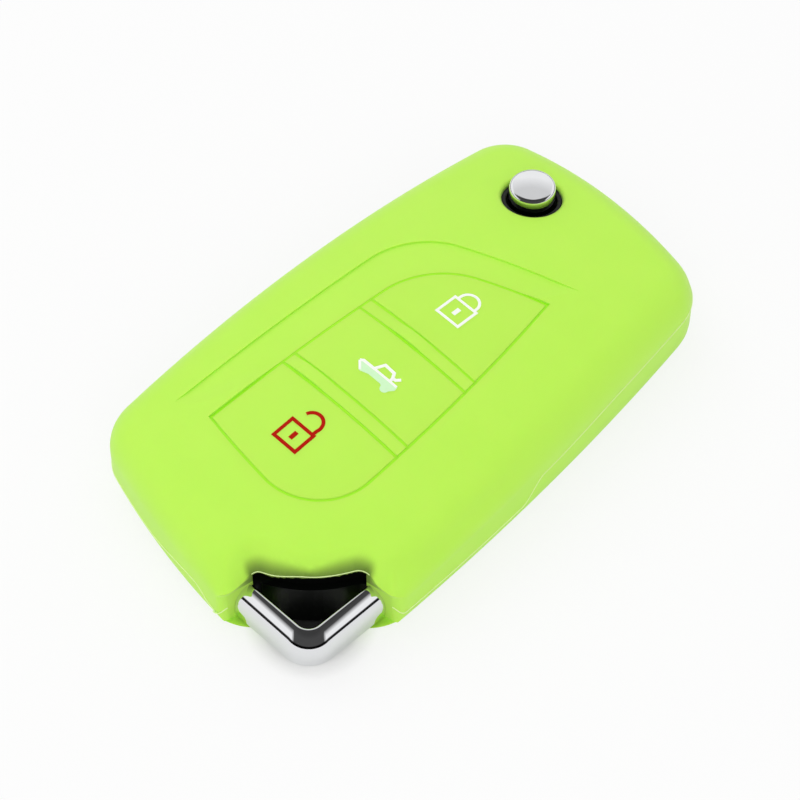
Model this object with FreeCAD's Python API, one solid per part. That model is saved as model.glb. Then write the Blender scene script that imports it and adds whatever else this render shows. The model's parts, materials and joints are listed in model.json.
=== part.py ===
import FreeCAD, Part
import math
import os

# Silicone key fob cover with the folding remote key inside it. All sizes are millimetres.
# Seen from above: +X to the right, +Y towards the release button, +Z up.
# The flat back rests on z = 0 with the origin in the middle of the plan.
V = FreeCAD.Vector
UP = V(0, 0, 1)

# Cover outline: a tapering plan with four bowed sides and rounded corners
left_length = 74.2
near_width = 45.5
far_narrowing = 6.3
near_slant = 6.3
far_slant = 1.3
near_bow = 2.3
right_bow = 2.0
far_bow = 1.8
left_bow = 1.2
near_left_round = 7.0
near_right_round = 12.0
far_right_round = 8.0
far_left_round = 7.0
plan_shift_x = 0.55
plan_shift_y = 2.5

# Cover section: crowned top, rounded rims, skin and wall thickness
cover_height = 16.6
crown_x = -2.0
crown_y = 2.0
crown_radius_across = 80.0
crown_radius_along = 230.0
top_round = 5.5
bottom_round = 4.5
side_wall = 2.0
top_skin = 2.0
bottom_skin = 1.7
cover_fit = 0.1

# Pad field: corners in plan, two of them sharp and two rounded
field_near_left_x = -10.6
field_near_left_y = -25.8
field_near_right_x = 11.2
field_near_right_y = -27.9
field_far_right_x = 7.4
field_far_right_y = 17.9
field_far_left_x = -8.8
field_far_left_y = 10.9
field_near_bow = 0.6
field_right_bow = 1.4
field_far_bow = 0.2
field_left_bow = 0.1
field_near_right_round = 9.0
field_far_left_round = 12.0
far_bar_y = 0.5
near_bar_y = -12.55
bar_width = 1.6
pad_gap = 0.4
pad_ledge_width = 1.2
pad_ledge = 0.35
pad_proud = 0.1
pad_travel = 0.6
stop_gap = 0.1

# Sunk panel round the pad field
panel_near_left_x = -15.8
panel_near_left_y = -25.4
panel_far_left_x = -14.5
panel_far_left_y = 13.8
panel_far_right_x = 7.6
panel_far_right_y = 22.2
panel_far_left_round = 11.0
panel_depth = 0.3

# Remote housing
housing_wall = 1.5
housing_top = 1.4
split_share = 0.4217
board_rest = 1.2
blade_wall = 1.2
bay_margin = 1.0

# Folding blade: pivot measured from the left and far corners of the cover
pivot_from_left = 14.2
pivot_from_far = 9.0
blade_offset = 7.4
blade_width = 7.6
blade_thickness = 2.4
blade_length = 50.0
blade_tip = 5.0
tang_width = 6.0
tang_length = 5.5
track_width = 2.4
track_depth = 0.6
track_wave = 0.9
pin_radius = 0.75
pin_fit = 0.02
rotor_radius = 7.2
rotor_height = 5.6
lug_wall = 0.9
lug_near = 9.0
lug_far = 3.0
lug_round = 2.0
cup_radius = 4.7
cup_floor = 0.8
neck_radius = 5.6
neck_height = 1.1
journal_radius = 3.0
journal_height = 0.9
running_fit = 0.06
swing_gap = 0.4
slot_gap = 0.3
cover_slot_gap = 0.3

# Release button
cap_radius = 3.15
cap_proud = 2.1
cap_wall = 0.7
cap_edge = 0.6
cap_dome = 14.0
cover_hole_radius = 4.15
hole_edge = 0.5
button_clear = 0.15
release_travel = 2.0
collar_radius = 4.3
collar_height = 1.0
stem_radius = 1.8
spring_wire = 0.55
spring_radius = 2.9
spring_half_turns = 7

# Key ring bail, measured from the point where its two outer faces meet
bail_inset = 2.2
bail_bar = 2.4
bail_bottom = 2.9
bail_height = 5.5
bail_reach = 12.6
bail_outer_round = 3.5
bail_inner_round = 1.1
bail_crown_round = 1.2
bail_edge_round = 0.4
bail_inner_edge = 0.8
tang_root = 4.0
tang_root_set = 0.9
tang_root_low = 0.7
bow_middle = 7.0
bow_lobe = 12.6
bow_lobe_depth = 3.24
bow_lobe_round = 1.3
bow_floor_lobe = 9.9
lip_roll = 1.6
lip_wall_share = 0.23
upper_lip = 1.2
lower_lip = 0.2
foot_set = 3.3
foot_gap = 0.4
ear_gap = 0.5
ear_side = 0.6
ear_end = 1.0

# Electronics
board_thickness = 1.0
board_gap = 0.3
switch_size = 6.0
switch_drop = 6.4
plunger_radius = 1.6
plunger_stand = 0.5
plunger_share = 0.27
plunger_travel = 0.25
key_clear = 0.25
key_flange = 0.6
key_stem_radius = 1.5
touch_gap = 0.05
cell_share = 0.346149
cell_thickness = 3.2
cell_set_in = 3.4
cell_y = -6.0
contact_thickness = 0.2
contact_width = 7.0
clip_width = 6.0
chip_size = 5.0
chip_height = 0.9
chip_set_in = 10.5
chip_y = -2.0
oscillator_length = 5.0
oscillator_width = 3.2
oscillator_height = 1.2
oscillator_y = 7.5
antenna_length = 9.0
antenna_width = 3.0
antenna_over = 0.22991
antenna_y = -12.5
transponder_length = 11.0
transponder_width = 6.0
transponder_height = 2.8
transponder_gap = 0.1
transponder_set_in = 6.6
transponder_below = 14.3

# Housing screws
far_screw_in = 7.4
far_screw_below = 4.7
near_screw_in = 18.2
near_screw_above = 1.6
screw_radius = 0.95
screw_head_radius = 1.9
screw_head_height = 1.2
screw_bite = 2.2
screw_gap = 0.05

# Values worked out from the sizes above
corner_x = -near_width / 2 + plan_shift_x
near_left = V(corner_x, plan_shift_y - left_length / 2, 0)
near_right = V(corner_x + near_width, near_left.y - near_slant, 0)
far_left = V(corner_x, plan_shift_y + left_length / 2, 0)
far_right = V(near_right.x - far_narrowing, far_left.y - far_slant, 0)
field_near_left = V(field_near_left_x, field_near_left_y, 0)
field_near_right = V(field_near_right_x, field_near_right_y, 0)
field_far_right = V(field_far_right_x, field_far_right_y, 0)
field_far_left = V(field_far_left_x, field_far_left_y, 0)
panel_near_left = V(panel_near_left_x, panel_near_left_y, 0)
panel_far_left = V(panel_far_left_x, panel_far_left_y, 0)
panel_far_right = V(panel_far_right_x, panel_far_right_y, 0)
pivot = V(far_left.x + pivot_from_left, far_left.y - pivot_from_far, 0)
blade_x = pivot.x - blade_offset
blade_edge = blade_x + blade_width / 2
blade_root_y = pivot.y - lug_near
blade_tip_y = blade_root_y - blade_length
ring_corner = V(near_right.x - bail_inset, near_right.y + bail_inset, 0)
bail_top = bail_bottom + bail_height
ear_floor = bail_bottom - ear_gap
housing_inset = side_wall + cover_fit
housing_floor = bottom_skin + cover_fit
housing_drop = top_skin + cover_fit
bay_inset = housing_inset + housing_wall
split_z = cover_height * split_share
bay_drop = housing_drop + housing_top
rotor_low = split_z - rotor_height / 2
rotor_high = split_z + rotor_height / 2
pocket_radius = math.hypot(blade_offset + blade_width / 2 + lug_wall, lug_far) + swing_gap
bay_left = blade_edge + swing_gap + blade_wall
bay_near = field_near_right_y + bay_margin
bay_far = pivot.y - pocket_radius - housing_wall
pad_top_drop = panel_depth - pad_proud
ledge_drop = top_skin - pad_ledge
plate_drop = ledge_drop - pad_travel - stop_gap
board_top = split_z + board_thickness
switch_top = cover_height - switch_drop
plunger_socket = (switch_top - board_top) * plunger_share
chip_x = near_right.x - chip_set_in
transponder_x = far_right.x - transponder_set_in
transponder_y = far_right.y - transponder_below
plunger_top = switch_top + plunger_stand
key_stem_bottom = plunger_top + pad_travel - plunger_travel + touch_gap
clip_low = split_z - contact_thickness - touch_gap
cell_low = clip_low - cell_thickness
bay_floor = cell_low - contact_thickness
screw_length = split_z - housing_floor + screw_bite
screw_places = (far_right - V(far_screw_in, far_screw_below, 0),
                near_left + V(near_screw_in, near_screw_above, 0))
far_beyond = 60.0


def side_circle(start, end, bow):
    """Centre and radius of the arc between two plan corners that bows outwards."""
    chord = end - start
    radius = (chord.Length ** 2 / 4 + bow ** 2) / (2 * bow)
    inward = V(-chord.y, chord.x, 0).normalize()
    return (start + end) * 0.5 + inward * (radius - bow), radius


def circles_meet(first, first_radius, second, second_radius, near):
    """The crossing of two plan circles that lies nearest to a point."""
    line = second - first
    gap = line.Length
    along = (first_radius ** 2 - second_radius ** 2 + gap ** 2) / (2 * gap)
    aside = math.sqrt(first_radius ** 2 - along ** 2)
    foot = first + line * (along / gap)
    normal = V(-line.y, line.x, 0) * (aside / gap)
    return min((foot + normal, foot - normal), key=lambda point: (point - near).Length)


def arc_about(centre, start, end):
    """Short arc between two points at the same distance from a centre."""
    middle = ((start - centre) + (end - centre)).normalize() * (start - centre).Length
    return Part.Arc(start, centre + middle, end).toShape()


def bowed_outline(corners, bows, rounds, inset):
    """Closed plan wire, anticlockwise, with bowed sides and rounded corners, moved inwards by an inset."""
    ends = corners[1:] + corners[:1]
    sides = [side_circle(a, b, bow) for a, b, bow in zip(corners, ends, bows)]
    leaving = []
    entering = []
    turns = []
    for corner, radius, before, after in zip(corners, rounds, sides[-1:] + sides[:-1], sides):
        reach = max(radius, inset)
        middle = circles_meet(before[0], before[1] - reach, after[0], after[1] - reach, corner)
        entering.append(before[0] + (middle - before[0]).normalize() * (before[1] - inset))
        leaving.append(after[0] + (middle - after[0]).normalize() * (after[1] - inset))
        turns.append(middle if reach > inset else None)
    edges = []
    for index, side in enumerate(sides):
        if turns[index]:
            edges.append(arc_about(turns[index], entering[index], leaving[index]))
        edges.append(arc_about(side[0], leaving[index], entering[(index + 1) % len(sides)]))
    return Part.Wire(edges)


def upright_edge(solid, corner):
    """The vertical edge of a prism that stands on a plan corner."""
    for edge in solid.Edges:
        if all(math.hypot(v.X - corner.x, v.Y - corner.y) < 1e-4 for v in edge.Vertexes):
            return edge
    raise ValueError("no upright edge at a plan corner")


def rounded_polygon(corners, rounds):
    """Plan face with straight sides, some of its corners rounded."""
    solid = Part.Face(Part.makePolygon(corners + corners[:1])).extrude(UP)
    for corner, radius in zip(corners, rounds):
        if radius:
            solid = solid.makeFillet(radius, [upright_edge(solid, corner)])
    return Part.Face(min(solid.Faces, key=lambda face: face.CenterOfMass.z).OuterWire)


def plan_face(inset):
    """The cover's plan, moved inwards by an inset."""
    corners = [near_left, near_right, far_right, far_left]
    bows = [near_bow, right_bow, far_bow, left_bow]
    rounds = [near_left_round, near_right_round, far_right_round, far_left_round]
    return Part.Face(bowed_outline(corners, bows, rounds, inset))


def field_face(inset):
    """Plan of the pad field, moved inwards by an inset."""
    corners = [field_near_left, field_near_right, field_far_right, field_far_left]
    bows = [field_near_bow, field_right_bow, field_far_bow, field_left_bow]
    rounds = [0, field_near_right_round, 0, field_far_left_round]
    return Part.Face(bowed_outline(corners, bows, rounds, inset))


def prism(face, low, high):
    """A plan face carried up from one height to another."""
    solid = face.extrude(UP * (high - low))
    solid.translate(UP * low)
    return solid


def rectangle(x_low, x_high, y_low, y_high):
    """Rectangular plan face."""
    return Part.makePlane(x_high - x_low, y_high - y_low, V(x_low, y_low, 0))


def block(x_low, x_high, y_low, y_high, z_low, z_high):
    """Box between two corners."""
    return Part.makeBox(x_high - x_low, y_high - y_low, z_high - z_low, V(x_low, y_low, z_low))


def round_bar(radius, low, high, place):
    """Upright cylinder at a plan place."""
    return Part.makeCylinder(radius, high - low, V(place.x, place.y, low))


def dome(drop):
    """Everything below the crowned top surface, lowered by a drop: an arc swung along a larger arc."""
    top = cover_height - drop
    half = 0.55 * crown_radius_across
    sag = crown_radius_across - math.sqrt(crown_radius_across ** 2 - half ** 2)
    left = V(crown_x - half, crown_y, top - sag)
    right = V(crown_x + half, crown_y, top - sag)
    low_left = V(left.x, crown_y, -far_beyond)
    low_right = V(right.x, crown_y, -far_beyond)
    crown = Part.Arc(left, V(crown_x, crown_y, top), right).toShape()
    lines = [Part.LineSegment(a, b).toShape() for a, b in
             ((right, low_right), (low_right, low_left), (low_left, left))]
    section = Part.Face(Part.Wire([crown] + lines))
    centre = V(crown_x, crown_y, top - crown_radius_along)
    turn = math.degrees(math.asin(far_beyond / crown_radius_along))
    section.rotate(centre, V(1, 0, 0), -turn)
    return section.revolve(centre, V(1, 0, 0), 2 * turn)


def crowned(face, top_drop, bottom_drop):
    """A plan face as a plate between two crowned surfaces."""
    column = prism(face, 0, cover_height + 1)
    return column.common(dome(top_drop)).cut(dome(bottom_drop))


def pillow(inset, floor, drop):
    """The cover's outer form, or one lying inside it: outline, crowned top, rounded rims."""
    body = prism(plan_face(inset), floor, cover_height).common(dome(drop)).Solids[0]
    top = max(body.Faces, key=lambda face: face.CenterOfMass.z)
    body = body.makeFillet(top_round - inset, top.Edges)
    base = min(body.Faces, key=lambda face: face.CenterOfMass.z)
    return body.makeFillet(bottom_round - inset, base.Edges)


def at_ring(along, across, z=0.0):
    """Point given by its distances from the bail's two outer faces."""
    return V(ring_corner.x - along, ring_corner.y + across, z)


def ring_opening(lobe, grow):
    """Plan of the open corner: two rounded lobes at the ends of a bow that swells towards the bail."""
    spread = bow_lobe + bow_lobe_depth - 2 * bow_middle
    centre = (bow_lobe ** 2 + bow_lobe_depth ** 2 - 2 * bow_middle ** 2) / (2 * spread)
    radius = math.sqrt(2) * (centre - bow_middle)
    reach = radius + bow_lobe_round
    turn = centre - math.sqrt(reach ** 2 - (lobe - bow_lobe_round - centre) ** 2)
    meet = (radius - grow) / reach
    hub_along = lobe - bow_lobe_round
    hubs = [at_ring(hub_along, turn), at_ring(turn, hub_along)]
    bow_centre = at_ring(centre, centre)
    joins = [bow_centre + (hub - bow_centre) * meet for hub in hubs]
    edge = lobe + grow
    tangents = [at_ring(edge, turn), at_ring(turn, edge)]
    outside = [at_ring(edge, -bow_lobe), at_ring(-bow_lobe, -bow_lobe), at_ring(-bow_lobe, edge)]
    lines = [outside + [tangents[1]], [tangents[0], outside[0]]]
    edges = [Part.LineSegment(a, b).toShape() for row in lines for a, b in zip(row, row[1:])]
    edges[3:3] = [arc_about(hubs[1], tangents[1], joins[1]), arc_about(bow_centre, joins[1], joins[0]),
                  arc_about(hubs[0], joins[0], tangents[0])]
    return Part.Face(Part.Wire(edges))


def bail_channel(gap, low, high):
    """Room round the bail's two arms, open to the outside."""
    reach = bail_reach + gap
    inner = bail_bar + gap
    near_arm = block(ring_corner.x - reach, far_beyond, -far_beyond, ring_corner.y + inner, low, high)
    right_arm = block(ring_corner.x - inner, far_beyond, -far_beyond, ring_corner.y + reach, low, high)
    return near_arm.fuse(right_arm)


def arm_pockets(low, high):
    """Pockets in the cover's ears that take the ends of the bail's arms."""
    reach = bail_reach + ear_end
    inner = bail_bar + ear_gap
    near_pocket = block(ring_corner.x - reach, ring_corner.x - bow_floor_lobe, ring_corner.y - ear_side,
                        ring_corner.y + inner, low, high)
    right_pocket = block(ring_corner.x - inner, ring_corner.x + ear_side, ring_corner.y + bow_floor_lobe,
                         ring_corner.y + reach, low, high)
    return [near_pocket, right_pocket]


def foot_face(gap):
    """Plan of the housing's foot behind the key ring gap, or with a gap the room for it in the cover's floor."""
    band = rectangle(-far_beyond, ring_corner.x - foot_set + gap, ring_corner.y + foot_set - gap, far_beyond)
    strip = ring_opening(bow_lobe, upper_lip + gap)
    if not gap:
        strip = strip.cut(ring_opening(bow_lobe, lower_lip))
    return strip.common(band).Faces[0]


def tang_roots(gap):
    """The bail's two roots in the housing, or with a gap the pockets that take them."""
    low = bail_bottom + tang_root_low - gap
    high = split_z - touch_gap + gap
    near_x = ring_corner.x - bail_reach
    right_y = ring_corner.y + bail_reach
    near_root = block(near_x - tang_root - gap, near_x, ring_corner.y + tang_root_set - gap,
                      ring_corner.y + bail_bar + gap, low, high)
    right_root = block(ring_corner.x - bail_bar - gap, ring_corner.x - tang_root_set + gap,
                       right_y, right_y + tang_root + gap, low, high)
    return [near_root, right_root]


def rotor_room(gap):
    """Space that the rotor and its lug sweep from folded to open, open to the left and the far end."""
    low = rotor_low - gap
    high = rotor_high + gap
    room = round_bar(pocket_radius, low, high, pivot)
    lug_side = pivot.x + blade_offset + blade_width / 2 + lug_wall + swing_gap
    left = block(-far_beyond, pivot.x, pivot.y - lug_near - swing_gap, far_beyond, low, high)
    far = block(-far_beyond, lug_side, pivot.y, far_beyond, low, high)
    return room.fuse([left, far])


def blade_room(gap):
    """Slot for the folded blade along the left side."""
    low = split_z - blade_thickness / 2 - gap
    high = split_z + blade_thickness / 2 + gap
    return block(-far_beyond, blade_edge + swing_gap, blade_tip_y - 2 * swing_gap, pivot.y, low, high)


def pad_face(name, inset):
    """Plan of one pad: the field between the cross bars, moved inwards by an inset."""
    half = bar_width / 2
    spans = {"lock": (far_bar_y + half, far_beyond), "trunk": (near_bar_y + half, far_bar_y - half),
             "unlock": (-far_beyond, near_bar_y - half)}
    low, high = spans[name]
    band = rectangle(-far_beyond, far_beyond, low + inset, high - inset)
    return field_face(inset).common(band).Faces[0]


def panel_face():
    """Plan of the sunk strip to the left and far side of the pad field, lapping over the field."""
    corners = [panel_near_left, field_near_left, V(0, 0, 0), field_far_right, panel_far_right, panel_far_left]
    return rounded_polygon(corners, [0, 0, 0, 0, 0, panel_far_left_round])


def crown_at(place):
    """Height of the crowned top over a plan place."""
    across = math.sqrt(crown_radius_across ** 2 - (place.x - crown_x) ** 2) - crown_radius_across
    swing = math.sqrt((crown_radius_along + across) ** 2 - (place.y - crown_y) ** 2)
    return cover_height - crown_radius_along + swing


def opened_form():
    """The cover's outer form with the open key ring corner, its edges rolled over."""
    opening = ring_opening(bow_lobe, 0)
    form = pillow(0, 0, 0).cut(prism(opening, ear_floor, far_beyond))
    rolled = []
    for edge in form.Edges:
        box = edge.BoundBox
        middle = edge.valueAt((edge.FirstParameter + edge.LastParameter) / 2)
        away = Part.Vertex(V(middle.x, middle.y, 0)).distToShape(opening.OuterWire)[0]
        outer = min(ring_corner.x - middle.x, middle.y - ring_corner.y) < 0
        upright_line = box.XLength < 0.01 and box.YLength < 0.01
        if away < 0.01 and box.ZMax > ear_floor + 0.01 and (outer or not upright_line):
            rolled.append(edge)
    wall = crown_at(ring_corner) - ear_floor
    return form.makeFillet(min(lip_roll, lip_wall_share * wall), rolled)


def holed_form():
    """The opened form with the release button's hole, its rim rolled over."""
    form = opened_form().cut(round_bar(cover_hole_radius, split_z, far_beyond, pivot))
    rim = [edge for edge in form.Edges if edge.BoundBox.XLength < 2.1 * cover_hole_radius
           and edge.BoundBox.ZMin > split_z + 1 and abs(edge.BoundBox.Center.x - pivot.x) < 0.1]
    return form.makeFillet(hole_edge, rim)


def silicone_cover():
    """Moulded sleeve: outer form less the remote's room, the pad field and the openings."""
    cover = holed_form().cut(pillow(side_wall, bottom_skin, top_skin))
    column = cover_height + 1
    for face in (panel_face(), field_face(0)):
        cover = cover.cut(prism(face, 0, column).cut(dome(panel_depth)))
    for name in pad_names:
        cover = cover.cut(prism(pad_face(name, 0), 0, column).cut(dome(ledge_drop)))
        cover = cover.cut(prism(pad_face(name, window_inset), split_z, column))
    for face in (ring_opening(bow_floor_lobe, 0), foot_face(cover_fit)):
        cover = cover.cut(prism(face, -1, ear_floor))
    cover = cover.cut(arm_pockets(ear_floor, bail_top + ear_gap))
    cover = cover.cut(rotor_room(slot_gap + cover_slot_gap))
    cover = cover.cut(blade_room(slot_gap + 2 * cover_slot_gap))
    return cover


def pad(name):
    """One pad of the cover: a crowned plate with a boss that reaches down to the remote's key."""
    plate = crowned(pad_face(name, pad_gap), pad_top_drop, plate_drop)
    boss = crowned(pad_face(name, window_inset + key_clear), pad_top_drop, top_skin)
    return plate.fuse(boss).removeSplitter()


def key(name):
    """The remote's own key under a pad: body in the housing window, flange below it, stem over the switch."""
    inset = window_inset + key_clear
    flange_drop = bay_drop + touch_gap
    body = crowned(pad_face(name, inset), top_skin + touch_gap, flange_drop + key_flange)
    flange = crowned(pad_face(name, inset - key_flange), flange_drop, flange_drop + key_flange)
    stem = round_bar(key_stem_radius, key_stem_bottom, cover_height, switches[name]).common(dome(flange_drop))
    return body.fuse([flange, stem]).removeSplitter()


def housing_form():
    """Outer form of the remote with the open key ring corner, the bail's seats and the blade's room."""
    form = pillow(housing_inset, housing_floor, housing_drop)
    form = form.cut(prism(ring_opening(bow_lobe, lower_lip), -1, split_z))
    form = form.cut(prism(ring_opening(bow_lobe, upper_lip), split_z, far_beyond))
    form = form.cut(bail_channel(touch_gap, -1, far_beyond))
    form = form.cut(tang_roots(touch_gap))
    form = form.cut(rotor_room(slot_gap))
    return form.cut(blade_room(slot_gap))


def bay_face(inset):
    """Plan of the electronics bay, clear of the blade, the rotor and the ring corner's wall."""
    band = rectangle(bay_left + inset, far_beyond, bay_near + inset, bay_far - inset)
    wall = ring_opening(bow_lobe, upper_lip + housing_wall + inset)
    return plan_face(bay_inset + inset).common(band).cut(wall).Faces[0]


def screw_room(low, high):
    """Holes for the shanks of the housing screws."""
    return [round_bar(screw_radius + screw_gap, low, high, place) for place in screw_places]


def upper_housing():
    """Black upper half: key windows, board bay, release bore and rotor neck seat."""
    shell = housing.common(block(-far_beyond, far_beyond, -far_beyond, far_beyond, split_z, far_beyond))
    shell = shell.cut(prism(bay_face(0), split_z, cover_height).common(dome(bay_drop)))
    for name in pad_names:
        shell = shell.cut(prism(pad_face(name, window_inset), board_top, cover_height))
    neck_seat = round_bar(neck_radius + running_fit, rotor_high, rotor_high + neck_height + slot_gap, pivot)
    bore = round_bar(cap_radius + button_clear, rotor_high, cover_height, pivot)
    top = housing_floor + screw_length + screw_gap
    return shell.cut([neck_seat, bore] + screw_room(split_z, top))


def lower_housing():
    """Black lower half: cell bay, board ledge, rotor journal seat, transponder pocket, screw seats."""
    shell = housing.common(block(-far_beyond, far_beyond, -far_beyond, far_beyond, 0, split_z))
    shell = shell.cut(prism(bay_face(board_rest), bay_floor, split_z))
    shell = shell.fuse(prism(foot_face(0), foot_gap, bay_floor)).removeSplitter()
    seat = round_bar(journal_radius + running_fit, rotor_low - journal_height - slot_gap, split_z, pivot)
    gap = transponder_gap
    pocket = block(transponder_x - transponder_width / 2 - gap, transponder_x + transponder_width / 2 + gap,
                   transponder_y - transponder_length / 2 - gap, transponder_y + transponder_length / 2 + gap,
                   split_z - transponder_height - gap, split_z)
    heads = [round_bar(screw_head_radius + screw_gap, 0, housing_floor + screw_head_height, place)
             for place in screw_places]
    return shell.cut([seat, pocket] + heads + screw_room(0, split_z))


def bail_edges(solid, height, low, high):
    """Edges of the bail at one height whose middles lie between two shares of its bar's width."""
    found = []
    for edge in solid.Edges:
        middle = edge.valueAt((edge.FirstParameter + edge.LastParameter) / 2)
        share = min(ring_corner.x - middle.x, middle.y - ring_corner.y) / bail_bar
        if abs(middle.z - height) < 1e-4 and low < share < high:
            found.append(edge)
    return found


def key_ring_bail():
    """Chrome L-shaped bar with a rounded corner and rolled top edges, and its two roots."""
    far = bail_reach
    bar = bail_bar
    points = [at_ring(far, 0), at_ring(0, 0), at_ring(0, far),
              at_ring(bar, far), at_ring(bar, bar), at_ring(far, bar)]
    rounds = [0, bail_outer_round, 0, 0, bail_inner_round, 0]
    bail = prism(rounded_polygon(points, rounds), bail_bottom, bail_top)
    bail = bail.makeFillet(bail_crown_round, bail_edges(bail, bail_top, -1, 0.45))
    bail = bail.makeFillet(bail_inner_edge, bail_edges(bail, bail_top, 0.9, 2))
    bail = bail.makeFillet(bail_edge_round, bail_edges(bail, bail_bottom, -1, 0.45))
    return bail.fuse(tang_roots(0)).removeSplitter()


def release_cap():
    """Chrome cap: a cup with a domed end and a rounded rim, turned open side down."""
    top = cap_top
    low = rotor_high + neck_height + slot_gap
    ball = Part.makeSphere(cap_dome, pivot + V(0, 0, top - cap_dome))
    cap = round_bar(cap_radius, low, top, pivot).common(ball).Solids[0]
    rim = [edge for edge in cap.Edges if edge.BoundBox.ZMin > low + 1 and edge.BoundBox.ZLength < 0.01]
    cap = cap.makeFillet(cap_edge, rim)
    return cap.cut(round_bar(cap_radius - cap_wall, low, top - cap_wall, pivot))


def release_stem():
    """Stem of the release button: post in the cap, retaining collar, guide in the spring."""
    collar_top = rotor_high + neck_height + slot_gap - touch_gap
    collar_low = collar_top - collar_height
    post = round_bar(cap_radius - cap_wall - touch_gap, collar_low, cap_top - cap_wall - touch_gap, pivot)
    collar = round_bar(collar_radius, collar_low, collar_top, pivot)
    guide_low = rotor_low - journal_height + release_travel + slot_gap
    guide = round_bar(stem_radius, guide_low, collar_low, pivot)
    return post.fuse([collar, guide]).removeSplitter()


def release_spring():
    """Coil spring round the guide: a chain of half turns, each a bent bar tilted to climb half a pitch."""
    wire = spring_wire / 2
    collar_low = rotor_high + neck_height + slot_gap - touch_gap - collar_height
    rise = collar_low - spring_low - spring_wire - 2 * touch_gap
    climb = rise / spring_half_turns
    turns = []
    for index in range(spring_half_turns):
        side = 1 if index % 2 == 0 else -1
        start = V(side * spring_radius, 0, index * climb)
        centre = V(0, 0, (index + 0.5) * climb)
        tilt = V(side * climb, 0, 2 * spring_radius)
        section = Part.Face(Part.Wire([Part.makeCircle(wire, start, V(0, 1, 0))]))
        turns.append(section.revolve(centre, tilt, 180))
    coil = turns[0].fuse(turns[1:])
    coil.translate(V(pivot.x, pivot.y, spring_low + wire + touch_gap))
    return coil


def tang_box(gap):
    """Tang of the blade in the lug."""
    return block(blade_x - tang_width / 2 - gap, blade_x + tang_width / 2 + gap, blade_root_y,
                 blade_root_y + tang_length + gap, split_z - blade_thickness / 2 - gap,
                 split_z + blade_thickness / 2 + gap)


def blade_rotor():
    """Folding head: drum with a spring cup, neck and journal, and the lug with the blade's seat."""
    outer_x = blade_x - blade_width / 2 - lug_wall
    lug = block(outer_x, pivot.x, pivot.y - lug_near, pivot.y + lug_far, rotor_low, rotor_high)
    for corner in (V(outer_x, pivot.y - lug_near, 0), V(outer_x, pivot.y + lug_far, 0)):
        lug = lug.makeFillet(lug_round, [upright_edge(lug, corner)])
    drum = round_bar(rotor_radius, rotor_low, rotor_high, pivot)
    neck = round_bar(neck_radius, rotor_high, rotor_high + neck_height, pivot)
    journal = round_bar(journal_radius, rotor_low - journal_height, rotor_low, pivot)
    rotor = drum.fuse([lug, neck, journal]).removeSplitter()
    cup = round_bar(cup_radius, rotor_low + cup_floor, rotor_high + neck_height, pivot)
    guide_room = round_bar(stem_radius + slot_gap, rotor_low - journal_height, rotor_high, pivot)
    pin_hole = round_bar(pin_radius + pin_fit, rotor_low, rotor_high, pin_place)
    return rotor.cut([cup, guide_room, tang_box(touch_gap), pin_hole])


def key_blade():
    """Steel blade: pointed bar with a tang, a pin hole and a waving milled track on both faces."""
    half = blade_width / 2
    shoulder_y = blade_tip_y + blade_tip
    nose = half / 3
    corners = [V(blade_x - half, blade_root_y, 0), V(blade_x - half, shoulder_y, 0),
               V(blade_x - nose, blade_tip_y, 0), V(blade_x + nose, blade_tip_y, 0),
               V(blade_x + half, shoulder_y, 0), V(blade_x + half, blade_root_y, 0)]
    low = split_z - blade_thickness / 2
    high = split_z + blade_thickness / 2
    blade = prism(Part.Face(Part.makePolygon(corners + corners[:1])), low, high)
    tracks = [prism(track_face(), low - 1, low + track_depth),
              prism(track_face(), high - track_depth, high + 1)]
    hole = round_bar(pin_radius + pin_fit, low, high, pin_place)
    return blade.fuse(tang_box(0)).removeSplitter().cut(tracks + [hole])


def track_face():
    """Plan of the milled track: a sine line along the blade, given a width."""
    steps = 9
    start = blade_tip_y - blade_tip
    end = blade_root_y - blade_tip
    ys = [start + (end - start) * i / (steps - 1) for i in range(steps)]
    bends = [track_wave * math.sin(math.pi * i / 2) for i in range(steps)]
    sides = []
    for side in (-track_width / 2, track_width / 2):
        curve = Part.BSplineCurve()
        curve.interpolate([V(blade_x + bend + side, y, 0) for bend, y in zip(bends, ys)])
        sides.append(curve.toShape())
    closing = [Part.LineSegment(sides[0].valueAt(sides[0].LastParameter),
                                sides[1].valueAt(sides[1].LastParameter)).toShape(),
               Part.LineSegment(sides[1].valueAt(sides[1].FirstParameter),
                                sides[0].valueAt(sides[0].FirstParameter)).toShape()]
    return Part.Face(Part.Wire(Part.__sortEdges__(sides + closing)))


def blade_pin():
    """Roll pin through the lug and the tang."""
    return round_bar(pin_radius, rotor_low, rotor_high, pin_place)


def circuit_board():
    """Board on the ledge of the lower housing."""
    return prism(bay_face(board_gap), split_z, board_top)


def switch(name):
    """Push switch body under a key."""
    place = switches[name]
    half = switch_size / 2
    body = block(place.x - half, place.x + half, place.y - half, place.y + half, board_top, switch_top)
    room = round_bar(plunger_radius + touch_gap, switch_top - plunger_socket - plunger_travel - touch_gap,
                     switch_top, place)
    return body.cut(room)


def plunger(name):
    """Plunger of a push switch."""
    return round_bar(plunger_radius, switch_top - plunger_socket, plunger_top, switches[name])


def board_piece(x, y, width, length, height):
    """Part soldered on top of the board."""
    return block(x - width / 2, x + width / 2, y - length / 2, y + length / 2, board_top, board_top + height)


def coin_cell():
    """Button cell with its narrower minus side down."""
    place = V(cell_x, cell_y, 0)
    step = contact_thickness
    cup = round_bar(cell_radius, cell_low + step, clip_low, place)
    return cup.fuse(round_bar(cell_radius - 1, cell_low, cell_low + step, place)).removeSplitter()


def cell_contact():
    """Minus contact on the floor of the bay, under the cell."""
    return block(cell_x - contact_width / 2, cell_x + contact_width / 2, cell_y - cell_radius / 2,
                 cell_y + cell_radius / 2, bay_floor, cell_low)


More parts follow.
